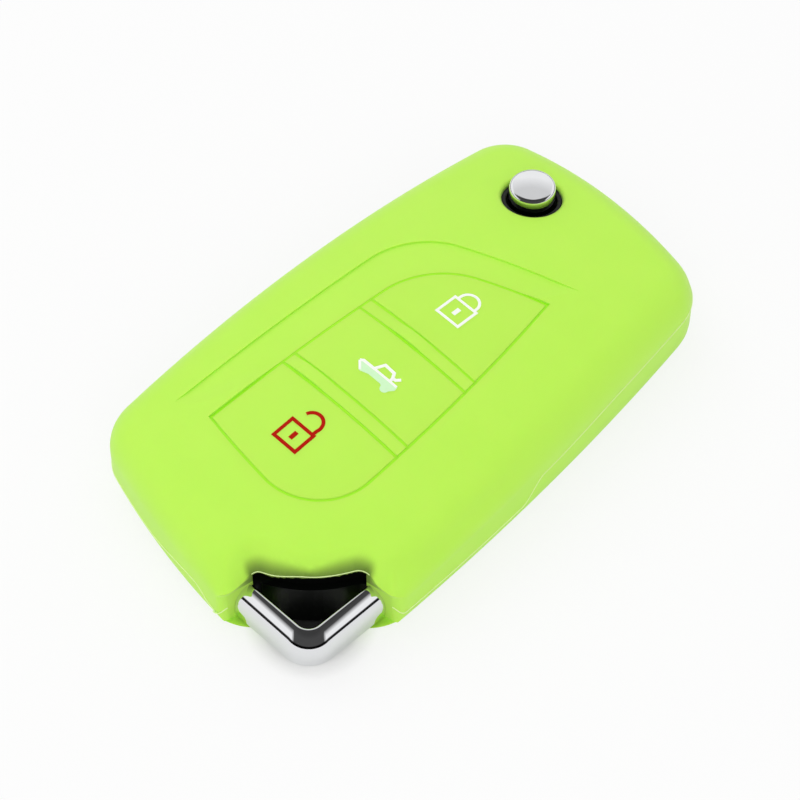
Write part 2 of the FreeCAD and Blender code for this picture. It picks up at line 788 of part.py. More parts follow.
def cell_clip():
    """Plus clip across the top of the cell, with a leg down its rim."""
    reach = cell_x + cell_radius + touch_gap
    half = clip_width / 2
    strap = block(cell_x - half, reach + contact_thickness, cell_y - half, cell_y + half, clip_low,
                  clip_low + contact_thickness)
    leg = block(reach, reach + contact_thickness, cell_y - half, cell_y + half, bay_floor, clip_low)
    return strap.fuse(leg).removeSplitter()


def transponder_chip():
    """Transponder block in its pocket in the lower housing."""
    return block(transponder_x - transponder_width / 2, transponder_x + transponder_width / 2,
                 transponder_y - transponder_length / 2, transponder_y + transponder_length / 2,
                 split_z - transponder_height, split_z)


def housing_screws():
    """Screws from the back: sunk heads and plain shanks."""
    screws = []
    for place in screw_places:
        head = round_bar(screw_head_radius, housing_floor, housing_floor + screw_head_height, place)
        shank = round_bar(screw_radius, housing_floor, housing_floor + screw_length, place)
        screws.append(head.fuse(shank).removeSplitter())
    return Part.makeCompound(screws)


right_middle, right_radius = side_circle(near_right, far_right, right_bow)
bay_right = right_middle.x + math.sqrt((right_radius - bay_inset) ** 2 - (cell_y - right_middle.y) ** 2)
cell_radius = (bay_right - bay_left) * cell_share
cell_x = bay_left + board_rest + cell_radius + cell_set_in
antenna_corner = V(chip_x + antenna_width / 2, antenna_y - antenna_length / 2, 0)
antenna_height = crown_at(antenna_corner) - bay_drop - antenna_over - board_top
pad_names = ("lock", "trunk", "unlock")
window_inset = pad_gap + pad_ledge_width
switches = {name: pad_face(name, 0).CenterOfMass for name in pad_names}
housing = housing_form()
cap_top = dome(0).common(round_bar(0.1, 0, cover_height, pivot)).BoundBox.ZMax + cap_proud
spring_low = rotor_low + cup_floor
pin_place = V(blade_x, blade_root_y + tang_length / 2, 0)

pieces = {
    "silicone_cover": silicone_cover(),
    "upper_housing": upper_housing(),
    "lower_housing": lower_housing(),
    "key_ring_bail": key_ring_bail(),
    "housing_screws": housing_screws(),
    "release_cap": release_cap(),
    "release_stem": release_stem(),
    "release_spring": release_spring(),
    "blade_rotor": blade_rotor(),
    "key_blade": key_blade(),
    "blade_pin": blade_pin(),
    "transponder_chip": transponder_chip(),
    "circuit_board": circuit_board(),
    "remote_chip": board_piece(chip_x, chip_y, chip_size, chip_size, chip_height),
    "oscillator": board_piece(chip_x, oscillator_y, oscillator_width, oscillator_length, oscillator_height),
    "antenna_coil": board_piece(chip_x, antenna_y, antenna_width, antenna_length, antenna_height),
    "coin_cell": coin_cell(),
    "cell_positive_clip": cell_clip(),
    "cell_negative_contact": cell_contact(),
}
for pad_name in pad_names:
    pieces[pad_name + "_pad"] = pad(pad_name)
    pieces[pad_name + "_key"] = key(pad_name)
    pieces[pad_name + "_switch"] = switch(pad_name)
    pieces[pad_name + "_plunger"] = plunger(pad_name)

os.makedirs("parts", exist_ok=True)
for node, shape in pieces.items():
    shape.exportStep(os.path.join("parts", node + ".step"))
    print(node, len(shape.Solids), shape.isValid(), round(shape.Volume, 2))
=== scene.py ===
import json
import math

import bmesh
import bpy
import numpy as np
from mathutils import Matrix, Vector


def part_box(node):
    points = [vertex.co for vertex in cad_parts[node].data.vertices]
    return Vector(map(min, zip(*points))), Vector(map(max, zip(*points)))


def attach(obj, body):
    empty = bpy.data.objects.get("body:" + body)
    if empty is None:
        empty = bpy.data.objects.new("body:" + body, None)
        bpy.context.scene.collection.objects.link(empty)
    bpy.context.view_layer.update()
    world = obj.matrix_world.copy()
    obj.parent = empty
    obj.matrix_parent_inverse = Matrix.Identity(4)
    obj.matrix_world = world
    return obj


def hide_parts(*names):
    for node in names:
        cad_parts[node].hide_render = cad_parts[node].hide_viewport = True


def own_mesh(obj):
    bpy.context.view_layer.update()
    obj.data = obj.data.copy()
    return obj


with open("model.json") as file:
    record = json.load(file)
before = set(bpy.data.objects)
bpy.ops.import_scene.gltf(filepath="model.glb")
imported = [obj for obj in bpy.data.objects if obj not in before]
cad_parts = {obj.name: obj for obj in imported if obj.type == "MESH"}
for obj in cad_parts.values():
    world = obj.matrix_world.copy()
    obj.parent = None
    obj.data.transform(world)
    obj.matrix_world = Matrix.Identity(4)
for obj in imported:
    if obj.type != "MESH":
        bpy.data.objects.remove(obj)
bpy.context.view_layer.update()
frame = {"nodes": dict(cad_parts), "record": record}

bl_info = {
    "name": "Silicone key fob cover",
    "version": (1, 0, 0),
    "blender": (4, 5, 0),
    "location": "View3D > Sidebar > Fob cover",
    "description": "Builds the moulded cover, its pads and symbols, and the finishes of the remote inside it",
    "category": "Add Mesh",
}

# Lengths are in millimetres and turns in radians where nothing else is said. A pair that is named as a start, a stop
# or a zone gives the two ends of a soft change from nothing to all.
MM = 0.001
PADS = ("lock", "trunk", "unlock")

# Plan of the cover: corners anticlockwise from the near left, how far each side bows, corner rounds
PLAN_CORNERS = ((-22.2, -34.6), (23.3, -40.9), (17.0, 38.3), (-22.2, 39.6))
PLAN_BOWS = (2.3, 2.0, 1.8, 1.2)
PLAN_ROUNDS = (7.0, 12.0, 8.0, 7.0)

# Crowned top: place of the highest point, its height and the two radii of the crown; rounds of the rim and the back
CROWN = (-2.0, 2.0)
CROWN_HEIGHT = 16.6
CROWN_ACROSS = 80.0
CROWN_ALONG = 230.0
TOP_ROUND = 5.5
BOTTOM_ROUND = 4.5

# Fineness: points per millimetre of an outline, least points of its rounds, and points or steps of a curve
COVER_DENSITY = 2.4
ROOM_DENSITY = 1.5
FIELD_DENSITY = 8.0
LINE_DENSITY = 3.0
PANEL_DENSITY = 6.0
ROUND_LEAST = 8
FIELD_STEPS = 720
WINDOW_STEPS = 480
PAD_STEPS = 1440
CIRCLE_STEPS = 96
BOW_POINTS = 41
BEND_POINTS = 33
HOOP_POINTS = 25
LOBE_POINTS = 21
EAR_POINTS = 17
EDGE_POINTS = 15
ROLL_POINTS = 11
END_POINTS = 9
FOOT_POINTS = 7
PAD_EDGE_POINTS = 5
LIP_POINTS = 600
WEB_POINTS = 40
WIRE_POINTS = 260
WIRE_SIDES = 12
FLASH_SIDES = 8

# Rings of the cover's form, how near to its poles they go, the share where the top's rings get wider apart,
# and the passes and step that find the slope at the rim
BACK_RINGS = 10
ROUND_RINGS = 9
WALL_RINGS = 6
RIM_RINGS = 19
TOP_RINGS = 24
MIDDLE_RINGS = 22
BACK_POLE = 0.06
TOP_POLE = 0.04
TOP_PART = 0.7
SLOPE_PASSES = 6
SLOPE_STEP = 0.01

# Edges that turn by more than these degrees stay sharp
SOFT_EDGE = 40
WIRE_EDGE = 60
BAIL_EDGE = 50
HOUSING_EDGE = 35
BEZEL_EDGE = 30

# How far cutters reach past what they cut, and the least share of its faces that a cut piece keeps
ABOVE = 2.0
OPEN_ABOVE = 4.0
BELOW = 1.0
PAST_FLOOR = 0.1
OUTSIDE = 8.0
OUTSIDE_CORNER = 10.0
ARM_OUTSIDE = 4.0
FAR_BEYOND = 60.0
LEAST_KEPT = 0.25

# Pad field, its two cross bars, and the pads between them: depths of face and foot under the crown, rolled edge
FIELD_CORNERS = ((-10.6, -25.8), (11.2, -27.9), (7.4, 17.9), (-8.8, 10.9))
FIELD_BOWS = (0.6, 1.4, 0.2, 0.1)
FIELD_ROUNDS = (0.0, 9.0, 0.0, 12.0)
FIELD_CENTRE = (-1.0, -6.0)
BAR_HALF = 0.8
BARS = (-12.55, 0.5)
PAD_SPANS = {
    "lock": (BARS[1] + BAR_HALF, FAR_BEYOND),
    "trunk": (BARS[0] + BAR_HALF, BARS[1] - BAR_HALF),
    "unlock": (-FAR_BEYOND, BARS[0] - BAR_HALF),
}
PAD_CENTRES = {"lock": (0.4, 7.5), "trunk": (0.4, -6.0), "unlock": (0.4, -19.5)}
PAD_DROP = 0.2
PAD_UNDER = 0.8
PAD_EDGE = 0.15
PAD_RINGS = 14
PAD_POLE = 0.08
LEAST_RISE = 1e-6

# Groove round the field, thin webs in the slits, and ledge and window under each pad
SLIT_EASE = 0.02
GROOVE_WIDTH = 0.38
GROOVE_DEPTH = 0.5
GROOVE_ABOVE = 1.0
WEB_DROP = 0.36
WEB_STEP = 0.005
WEB_DEPTH = 0.7
WEB_SEAT = 0.03
LEDGE_DROP = 1.65
WINDOW_INSET = 1.6

# Sunk panel to the left and far side of the field; its floor comes up at the near end and, on a slant, at the far end
PANEL_FAR = (9.7, 23.0)
PANEL_CORNERS = ((-15.9, -27.8), FIELD_CORNERS[0], (6.0, -10.0), FIELD_CORNERS[2], PANEL_FAR, (-14.5, 13.8))
PANEL_ROUNDS = (0.0, 0.0, 0.0, 0.0, 0.0, 11.0)
PANEL_DEPTH = 0.3
PANEL_CLEAR = 0.06
PANEL_RINGS = 30
PANEL_POLE = 0.05
PANEL_START = (-28.0, -24.0)
PANEL_STOP = (5.8, 9.6)
PANEL_SLANT = 0.45

# Soft hollow beside the field, between two places in degrees round the field's centre
DIP_DEPTH = 0.22
DIP_WIDTH = 2.6
DIP_START = (-118.0, -95.0)
DIP_STOP = (58.0, 76.0)

# Crease and swelling of the right flank: where they lie along y, how far the wall faces right, turn of the rim
FLANK_START = (-28.0, -23.0)
FLANK_STOP = (-12.0, 6.0)
FLANK_FACING = (0.8, 0.97)
CREASE_TURN = 0.56
CREASE_LIFT = 0.5
CREASE_BEND = (-25.5, -19.5)
CREASE_DEPTH = 0.22
CREASE_WIDTH = 1.1
SWELL_HEIGHT = 0.08
SWELL_BELOW = 3.0
SWELL_WIDTH = 1.8

# Release button: its hole, travel and spring; shares of the rise and of the wire that go into each flat end,
# and the part of the wire that climbs evenly
PIVOT = (-8.0, 30.6)
HOLE_RADIUS = 4.15
HOLE_ROLL = 0.6
HOLE_LIFT = 0.01
SPRING_WIRE = 0.55
SPRING_TURNS = 4.5
SPRING_END_RISE = 0.15
SPRING_END = 0.3
SPRING_CLIMB = (0.12, 0.88)
# Black ring of the remote round the button: radius and depth under the crown along its section
BEZEL = ((4.12, 2.6), (4.12, 0.85), (4.0, 0.7), (3.6, 0.7), (3.48, 0.8), (3.48, 2.6))

# Open key ring corner, given by the distances from the bail's two outer faces: bow, two lobes and ears
RING_CORNER = (21.1, -38.7)
BOW_HUB = 19.36
BOW_RADIUS = 17.48
BOW_MIDDLE = -0.75 * math.pi
LOBE_REACH = 12.6
LOBE_RADII = (1.3, 1.9)
EAR_FACE = 12.6
EAR_HOLLOW = 13.3
EAR_TURN = -0.6
EAR_ROUND = 1.6
HOLLOW_LOW = 7.4
HOLLOW_HIGH = 9.4
HOLLOW_LEVELS = 9
EAR_OVERLAP = 0.4
CHEEK_END = 16.2
CHEEK_INNER = 2.6

# Roll of the top down to that corner's edge: depths, zone of the lobes, how many rolls past the ears it is worked
# out, the powers of its fall, and the thickness left at the edge
LIP_ROLL = 2.3
LOBE_ROLLS = (3.1, 2.1)
LOBE_ZONE = (7.5, 11.0)
EAR_ROLL = 3.8
ROLL_ZONE = 3.0
RISE_POWER = 1.5
ROLL_POWER = 2.2
LIP_EDGE = 0.45

# Painted shade on the rolled lip's top near the open corner's edge: least height, width on the bow, what the lobes add
# and where, and its start beside the arms
LIP_SHADE_LOW = 8.0
LIP_SHADE = 0.55
LOBE_SHADE = 0.75
LOBE_SHADE_ZONE = (6.0, 10.5)
ARM_SHADE_ZONE = (0.6, 2.6)

# Floor of the corner, the rounded strips under the arms and the room of the housing's foot
FLOOR_REACH = 9.9
FLOOR_TOP = 2.4
STRIP_HUB = (15.4, 5.3)
STRIP_ROUND = 7.5
STRIP_CUT = 4
STRIP_LEVELS = 12
STRIP_FIRST = 0.03
STRIP_PAST = 0.01
STRIP_LEAST = 0.005
FOOT_BACK = 1.3
FOOT_SIDE = 3.2
FOOT_END = 13.9

# Chrome bail: bar and how far it stands proud of the remote, foot and start of its crown, reach of its arms,
# rounds of its corner, crown, edges and ends, and the gap round its seats
BAIL_BAR = 2.6
BAIL_PROUD = 0.2
BAIL_LOW = 2.9
BAIL_TURN = 4.3
BAIL_REACH = 13.2
BAIL_BEND = 4.0
BAIL_CROWN = 4.0
BAIL_INNER = 0.35
BAIL_FOOT = 0.4
BAIL_END = 0.25
SEAT_GAP = 0.1
WELD = 0.001

# Room of the blade and its rotor on the hidden sides
SPLIT_Z = 7.0
ROTOR_ROOM = 12.87
ROTOR_HALF = 3.4
LUG_NEAR = 9.4
LUG_SIDE = 12.5
BLADE_EDGE = -11.2
BLADE_TIP = -29.2
BLADE_HALF = 2.1

# Moulding line: its height at the ears and its steps along the right and near walls (rise, from, to),
# where each wall starts, and how the line curls up round the nose of the ear. Its pale tone is a painted highlight on
# the fine ridge, and the curl up the nose stands for the highlight on the ear's upright edge
FLASH_LEVEL = 4.3
FLASH_RIGHT = ((2.9, -2.2, 2.2), (1.0, 2.0, 20.0))
FLASH_NEAR = ((1.5, -9.0, 2.0), (-1.9, 2.2, 6.0))
RIGHT_WALL_X = 6.0
NEAR_WALL_Y = -31.0
NOSE_POINTS = 14
NOSE_RISE = 1.2
NOSE_SPAN = (1.0, -0.3)

# Symbols: foot and face of a printed line against its pad, sharpest mitre, lift and rings of a filled patch
INK_FOOT = -0.2
INK_FACE = 0.05
MITRE_LEAST = 0.4
PATCH_LIFTS = (0.03, 0.035)
PATCH_RINGS = (1.0, 0.66, 0.33)
# Padlocks: body (left, right, near, far), centre, radius and start in half turns of the shackle,
# its feet before and after that arc, and the width of the lines against the common one
PADLOCKS = {
    "lock": ((-1.6, 2.2, 6.05, 9.45), (0.35, 9.9), 1.45, 0.0, [(1.8, 9.4)], [(-1.1, 9.4)], 0.8),
    "unlock": ((-2.25, 1.6, -22.2, -18.95), (-0.05, -17.75), 1.5, -0.1, [(1.35, -18.9)], [], 1.0),
}
KEYHOLE = (-0.65, 0.1, 0.55)
KEYHOLE_WEIGHT = 1.3
# Car with its boot open: lines of roof, waist, lid and nose with their widths, filled body, wheel
CAR_LINES = (
    (((-2.7, -6.75), (-2.3, -6.45), (-0.4, -6.45), (0.25, -5.05), (1.95, -5.15), (2.4, -5.9), (2.45, -6.45)), 0.9),
    (((-0.4, -6.45), (2.45, -6.45), (3.7, -6.45)), 0.7),
    (((2.4, -5.85), (2.85, -5.8), (3.3, -5.25)), 0.9),
    (((-2.7, -6.75), (-1.6, -7.8)), 0.7),
)
CAR_BODY = ((-2.6, -6.75), (-1.5, -7.95), (-0.9, -7.55), (2.25, -7.55), (2.6, -7.95), (3.15, -7.95),
            (3.9, -7.0), (3.8, -6.45), (2.4, -6.5), (-0.4, -6.5), (-2.3, -6.5))
CAR_WHEEL = ((2.75, -7.7), 0.62, 32)

# Grained finishes: name, colour, metallic, roughness, grain and its depth, spread of the tone and, where it isn't
# the usual 0.5, the level of the mirror light. Real grain is finer: it is drawn as coarse as it needs to show.
TRIMS = {
    # pale raised flash of the mould and bead along the lip, satin like the cover; the pale tone is a painted highlight
    # on these fine ridges
    "flash": ("lime_silicone_flash_highlight", "E6FFAE", 0.0, 0.5, 1.0, 0.01, 0.03),
    # inks printed on silicone: flat tone, hardly any gloss on the red
    "white_ink": ("white_ink_printed", "FBFFF6", 0.0, 0.5, 0.5, 0.01, 0.02),
    "red_ink": ("red_ink_printed", "B41404", 0.0, 0.6, 0.5, 0.01, 0.06, 0.08),
    "pale_ink": ("pale_ink_printed", "D2FAC8", 0.0, 0.5, 0.4, 0.01, 0.04),
    # bright chrome over a polished bar: a mirror of the room with crisp dark bands
    "bail": ("chrome_plated_bright", "E9EAEC", 1.0, 0.04, 1.5, 0.002, 0.02),
}
FINISHES = {
    # polished black housing: nearly no tone of its own, weak clear reflections
    "black_abs": ("black_abs_polished", "080A08", 0.0, 0.3, 0.6, 0.006, 0.1, 0.2),
    # chrome cap of the button: a mirror, a touch softer than the bail
    "chrome_plate": ("chrome_plated_cap", "E9EAEC", 1.0, 0.05, 1.5, 0.002, 0.02),
    # zinc: cool grey metal with a broad highlight
    "zinc_screw": ("zinc_plated_steel", "B9BCC2", 1.0, 0.35, 0.3, 0.01, 0.06),
    # acetal rotor: waxy dark grey
    "black_acetal": ("black_acetal_moulded", "17181A", 0.0, 0.45, 0.3, 0.01, 0.1),
    # drawn wire: grey metal with fine streaky light
    "spring_steel": ("spring_steel_drawn", "BFC1C4", 1.0, 0.28, 0.2, 0.01, 0.06),
    # milled blade: light steel with a satin sheen
    "blade_steel": ("blade_steel_milled", "C9CACC", 1.0, 0.25, 0.25, 0.01, 0.05),
    # cast block of the immobiliser: dull dark grey
    "glass_filled_epoxy": ("epoxy_block_cast", "1E1F20", 0.0, 0.6, 0.2, 0.01, 0.1),
    # solder mask: deep green under a gloss
    "board_laminate": ("laminate_solder_mask", "12552E", 0.0, 0.35, 0.4, 0.005, 0.1),
    # moulded chip: matt near black
    "chip_epoxy": ("chip_epoxy_moulded", "1A1B1C", 0.0, 0.5, 0.1, 0.01, 0.1),
    # tinned sheet: warm bright grey, soft reflections
    "tinned_can": ("tinned_sheet_pressed", "C4C5C2", 1.0, 0.3, 0.3, 0.01, 0.05),
    # nickel on the cell's can: warm light metal
    "cell_steel": ("cell_can_nickel_plated", "CBCCCA", 1.0, 0.22, 0.4, 0.005, 0.04),
    # rubber of the remote's own keys: matt black
    "key_rubber": ("key_rubber_matt", "141514", 0.0, 0.65, 0.2, 0.01, 0.1),
}
GRAIN_DETAIL = 3.0
GRAIN_BUMP = 0.3

# Moulded silicone, which gives the eye a satin skin, soft light from within and faint clouds of tone: colours,
# size of the clouds and their two tones against the colour, how much of the colour is left where the painted lip shade
# is darkest, fine grain of the mould, drawn as coarse as it needs to show, and depth and reach by colour of the light
# within
COVER_COLOUR = "C0F654"
# painted light: the webs' brighter, greener colour stands for light shining through the thin silicone
WEB_LIT_COLOUR = "ABFF26"
# painted shade: the dark green that the lip's mark mixes into the cover near the open corner's edge
LIP_SHADE_COLOUR = "101806"
MOTTLE = 6.0
MOTTLE_DETAIL = 4.0
MOTTLE_DARK = (0.96, 0.985, 0.92)
MOTTLE_LIGHT = (1.03, 1.01, 1.06)
LIP_LEFT = 0.3
SATIN_GRAIN = 0.12
SATIN_DETAIL = 2.0
SATIN_DEPTH = 0.01
SATIN_BUMP = 0.15
GLOW_DEPTH = 1.2
GLOW_REACH = (0.6, 1.0, 0.2)
# A Mix node's colour sockets share their names with others, so they are taken by their places
MIX_FIRST, MIX_SECOND, MIX_RESULT = 6, 7, 2

# Camera of the photo: degrees round and up, distance, target, lens and its shift
CAMERA_AZIMUTH = 45.5
CAMERA_RISE = 51.5
CAMERA_FAR = 363.6
CAMERA_TARGET = (0.64, -3.2, 8.18)
CAMERA_LENS = 126.0
CAMERA_SENSOR = 36.0
CAMERA_SHIFT = (0.0025, -0.0018)
CAMERA_CLIP = 0.01

# White paper floor: half its side and drop, how white the camera sees it, and painted shade on the paper in the key
# ring's gap
FLOOR_HALF = 1200.0
FLOOR_DROP = 0.05
FLOOR_COLOUR = "F4F4F4"
FLOOR_GLOW = 0.8
GAP_SHADE = (14.1, -31.7, 0.0)
GAP_GLOW_ZONE = (4.0, 8.5)
GAP_PAINTED_SHADE_ZONE = (3.0, 6.5)
GAP_PAINTED_SHADE = 0.04

# Room: light on matt surfaces; greys that mirrors see by height; a dark card that faces the bail from the front
ROOM_LIGHT = 0.74
ROOM_BAND = ((0.0, 0.02), (0.14, 0.02), (0.19, 1.0), (0.6, 1.0), (0.8, 0.72))
CARD_SIDE = (0.7071, 0.7071, 0.0)
CARD_FRONT = (0.7071, -0.7071, 0.0)
CARD_EDGE = (0.76, 0.86)
CARD_FACING = (-0.3, -0.1)
CARD_GREY = 0.07
# Soft boxes: name, place and side in metres, watts
SOFT_BOXES = (("soft_box_left", (-0.45, -0.1, 0.7), 0.7, 1.5), ("soft_box_front", (0.5, -0.45, 0.6), 0.6, 1.5))
WHITE = (1.0, 1.0, 1.0, 1.0)


def srgb(code):
    """Linear red, green, blue and alpha of a hex colour."""
    parts = [int(code[i:i + 2], 16) / 255 for i in (0, 2, 4)]
    return tuple(v / 12.92 if v <= 0.04045 else ((v + 0.055) / 1.055) ** 2.4 for v in parts) + (1.0,)


def smooth_step(low, high, value):
    """0 below low, 1 above high, and a cubic ease between them."""
    t = np.clip((value - low) / (high - low), 0.0, 1.0)
    return t * t * (3.0 - 2.0 * t)


def unit(ways):
    """Each vector divided by its length."""
    return ways / np.linalg.norm(ways, axis=1)[:, None]


def left_of(ways):
    """Plan directions turned left by a quarter."""
    return np.column_stack([-ways[:, 1], ways[:, 0]])


def full_turn(steps):
    """Angles once round, anticlockwise from the left."""
    return np.linspace(-math.pi, math.pi, steps + 1)[:-1]


def arc(centre, radius, start, end, count):
    """Points on a circle from one angle to another, and their outward directions."""
    turn = np.linspace(start, end, count)
    way = np.stack([np.cos(turn), np.sin(turn)], axis=-1)
    return np.asarray(centre) + radius * way, way


def side_circle(start, end, bow):
    """Centre and radius of the arc over a chord that bows outwards to the right of its direction."""
    chord = end - start
    radius = (chord @ chord / 4 + bow * bow) / (2 * bow)
    inward = np.array([-chord[1], chord[0]]) / np.linalg.norm(chord)
    return (start + end) / 2 + inward * (radius - bow), radius


def circles_meet(first, first_radius, second, second_radius, near):
    """Crossing of two circles that lies nearer to a point."""
    line = second - first
    gap = np.linalg.norm(line)
    along = (first_radius ** 2 - second_radius ** 2 + gap ** 2) / (2 * gap)
    aside = math.sqrt(first_radius ** 2 - along ** 2)
    foot = first + line * (along / gap)
    normal = np.array([-line[1], line[0]]) * (aside / gap)
    pair = (foot + normal, foot - normal)
    return min(pair, key=lambda point: np.linalg.norm(point - near))


def bowed_outline(corners, bows, rounds, inset, density):
    """Closed outline of bowed sides and rounded corners, moved inwards: chained arcs, each with its normals."""
    corners = [np.array(c, float) for c in corners]
    sides = [side_circle(a, b, bow) for a, b, bow in zip(corners, corners[1:] + corners[:1], bows)]
    hubs = []
    for corner, radius, before, after in zip(corners, rounds, sides[-1:] + sides[:-1], sides):
        reach = max(radius, inset)
        hubs.append(circles_meet(before[0], before[1] - reach, after[0], after[1] - reach, corner))
    chain = []
    for index, (centre, radius) in enumerate(sides):
        ends = [hubs[index] - centre, hubs[(index + 1) % len(hubs)] - centre]
        angles = np.unwrap([math.atan2(e[1], e[0]) for e in ends])
        turn = rounds[index] - inset
        if turn > 0:
            entry = hubs[index] - sides[index - 1][0]
            bend = np.unwrap([math.atan2(entry[1], entry[0]), angles[0]])
            chain.append(arc(hubs[index], turn, *bend, max(ROUND_LEAST, int(turn * 2 * density))))
        length = (radius - inset) * abs(angles[1] - angles[0])
        chain.append(arc(centre, radius - inset, *angles, int(length * density) + 2))
    return [np.vstack([piece[:-1] for piece in pieces]) for pieces in zip(*chain)]


def field_edge(inset, density=FIELD_DENSITY):
    """Outline of the pad field, moved inwards."""
    return bowed_outline(FIELD_CORNERS, FIELD_BOWS, FIELD_ROUNDS, inset, density)[0]


def crown(x, y, height):
    """Height of the crowned top: a circle across, swung along a larger circle."""
    across = np.sqrt(CROWN_ACROSS ** 2 - (x - CROWN[0]) ** 2) - CROWN_ACROSS
    return height - CROWN_ALONG + np.sqrt((CROWN_ALONG + across) ** 2 - (y - CROWN[1]) ** 2)


def raised(plan, z):
    """Plan points at one height, or each at its own."""
    return np.column_stack([plan, np.broadcast_to(z, len(plan))])


def on_crown(plan, height, drop):
    """Plan points at a depth under the crowned top."""
    return raised(plan, crown(*plan.T, height) - drop)


def polar_reach(points, centre, angles):
    """Distance from a centre to an outline round it, for each angle."""
    offset = points - np.asarray(centre)
    turn = np.arctan2(offset[:, 1], offset[:, 0])
    order = np.argsort(turn)
    return np.interp(angles, turn[order], np.hypot(*offset.T)[order], period=2 * math.pi)


def field_dip(plan):
    """Depth of the soft hollow outside the field's right and near edges: a square fall with the distance."""
    angles = np.linspace(-math.pi, math.pi, FIELD_STEPS + 1)
    offset = plan - np.array(FIELD_CENTRE)
    turn = np.arctan2(offset[:, 1], offset[:, 0])
    away = np.hypot(*offset.T) - np.interp(turn, angles, polar_reach(field_edge(0.0), FIELD_CENTRE, angles))
    degrees = np.degrees(turn)
    sides = smooth_step(*DIP_START, degrees) * (1 - smooth_step(*DIP_STOP, degrees))
    return DIP_DEPTH * sides * np.clip(1 - away / DIP_WIDTH, 0.0, 1.0) ** 2


def flank_relief(plan, turn, normal):
    """Push along the normal on the right flank: a soft crease over a faint swelling, both fading along the side."""
    y = plan[:, 1]
    along = smooth_step(*FLANK_START, y) * (1 - smooth_step(*FLANK_STOP, y))
    along = along * smooth_step(*FLANK_FACING, normal[:, 0])
    crease = CREASE_TURN + CREASE_LIFT * (1 - smooth_step(*CREASE_BEND, y))
    off = TOP_ROUND * (turn - crease)
    swell = SWELL_HEIGHT * np.exp(-((off + SWELL_BELOW) / SWELL_WIDTH) ** 2)
    return along * (swell - CREASE_DEPTH * np.exp(-(off / CREASE_WIDTH) ** 2))


def pillow_rings(inset, floor, height, density, slack):
    """Rings of the cover's form from the middle of its back to the middle of its top.

    Each ring is the plan outline moved inwards: flat back, quarter round, straight wall,
    a rolled rim that meets the crown at its own slope, and the crown drawn in to one point.
    Round the open corner the top then rolls down; an inner form follows the roll after some slack."""
    outline, normal = bowed_outline(PLAN_CORNERS, PLAN_BOWS, PLAN_ROUNDS, inset, density)
    bottom = BOTTOM_ROUND - inset
    top = TOP_ROUND - inset
    middle = np.array(FIELD_CENTRE)
    tilt = np.zeros(len(outline))
    for _ in range(SLOPE_PASSES):
        rim = outline - normal * (top * (1 - np.sin(tilt)))[:, None]
        step = rim - normal * SLOPE_STEP
        tilt = np.arctan((crown(*step.T, height) - crown(*rim.T, height)) / SLOPE_STEP)
    rim = outline - normal * (top * (1 - np.sin(tilt)))[:, None]
    hub = crown(*rim.T, height) - top * np.cos(tilt)
    rings = []
    for share in np.linspace(BACK_POLE, 1.0, BACK_RINGS):
        rings.append(raised(middle + (outline - normal * bottom - middle) * share, floor))
    for turn in np.linspace(0.0, math.pi / 2, ROUND_RINGS)[1:]:
        plan = outline - normal * bottom * (1 - math.sin(turn))
        rings.append(raised(plan, floor + bottom * (1 - math.cos(turn))))
    for share in np.linspace(0.0, 1.0, WALL_RINGS)[1:]:
        rings.append(raised(outline, floor + bottom + (hub - floor - bottom) * share))
    for share in np.linspace(0.0, 1.0, RIM_RINGS)[1:]:
        turn = (math.pi / 2 - tilt) * share
        plan = outline - normal * (top * (1 - np.cos(turn)))[:, None]
        drop = np.maximum(lip_drop(plan, np.sin(turn) / np.cos(tilt)) - slack, 0.0)
        push = flank_relief(plan, turn, normal) if inset == 0 else np.zeros(len(plan))
        plan = plan + normal * (push * np.cos(turn))[:, None]
        rings.append(raised(plan, hub + (top + push) * np.sin(turn) - drop))
    outer = np.linspace(1.0, TOP_PART, TOP_RINGS)[1:]
    for share in np.concatenate([outer, np.linspace(TOP_PART, TOP_POLE, MIDDLE_RINGS)[1:]]):
        plan = middle + (rim - middle) * share
        drop = np.maximum(lip_drop(plan, np.ones(len(plan))) - slack, 0.0)
        if inset == 0:
            drop = drop + field_dip(plan)
        rings.append(on_crown(plan, height, drop))
    return np.array(rings)


def skin(rings, closed=False, flat_ends=False):
    """Vertices and faces of a skin over rings of equal length: both ends drawn to a pole, flat, or joined."""
    rows, count, _ = rings.shape
    here = np.arange(count)
    there = np.roll(here, -1)
    low = np.arange(rows if closed else rows - 1)[:, None] * count
    high = (low + count) % (rows * count)
    quads = np.stack([low + here, low + there, high + there, high + here], axis=-1).reshape(-1, 4).tolist()
    points = rings.reshape(-1, 3)
    if closed:
        return points, quads
    last = (rows - 1) * count
    if flat_ends:
        return points, quads + [here[::-1].tolist(), (last + here).tolist()]
    poles = np.vstack([rings[0].mean(axis=0), rings[-1].mean(axis=0)])
    start = np.stack([np.full(count, rows * count), there, here], axis=-1).tolist()
    end = np.stack([np.full(count, rows * count + 1), last + here, last + there], axis=-1).tolist()
    return np.vstack([points, poles]), quads + start + end


def join_skins(skins):
    """One set of vertices and faces from several skins."""
    points = []
    faces = []
    shift = 0
    for verts, polygons in skins:
        points.append(verts)
        faces += [[index + shift for index in face] for face in polygons]
        shift += len(verts)
    return np.vstack(points), faces


def linked(name, data):
    """An object of the scene that shows some data."""
    piece = bpy.data.objects.new(name, data)
    bpy.context.scene.collection.objects.link(piece)
    return piece


def mesh_object(name, verts, faces, smooth_angle):
    """A mesh object at the origin from millimetre points, smooth up to an angle in degrees."""
    mesh = bpy.data.meshes.new(name)
    mesh.from_pydata((verts * MM).tolist(), [], faces)
    mesh.update()
    soften(mesh, smooth_angle)
    return linked(name, mesh)


def soften(mesh, angle):
    """Smooth shading with edges sharper than an angle kept."""
    mesh.shade_smooth()
    mesh.set_sharp_from_angle(angle=math.radians(angle))


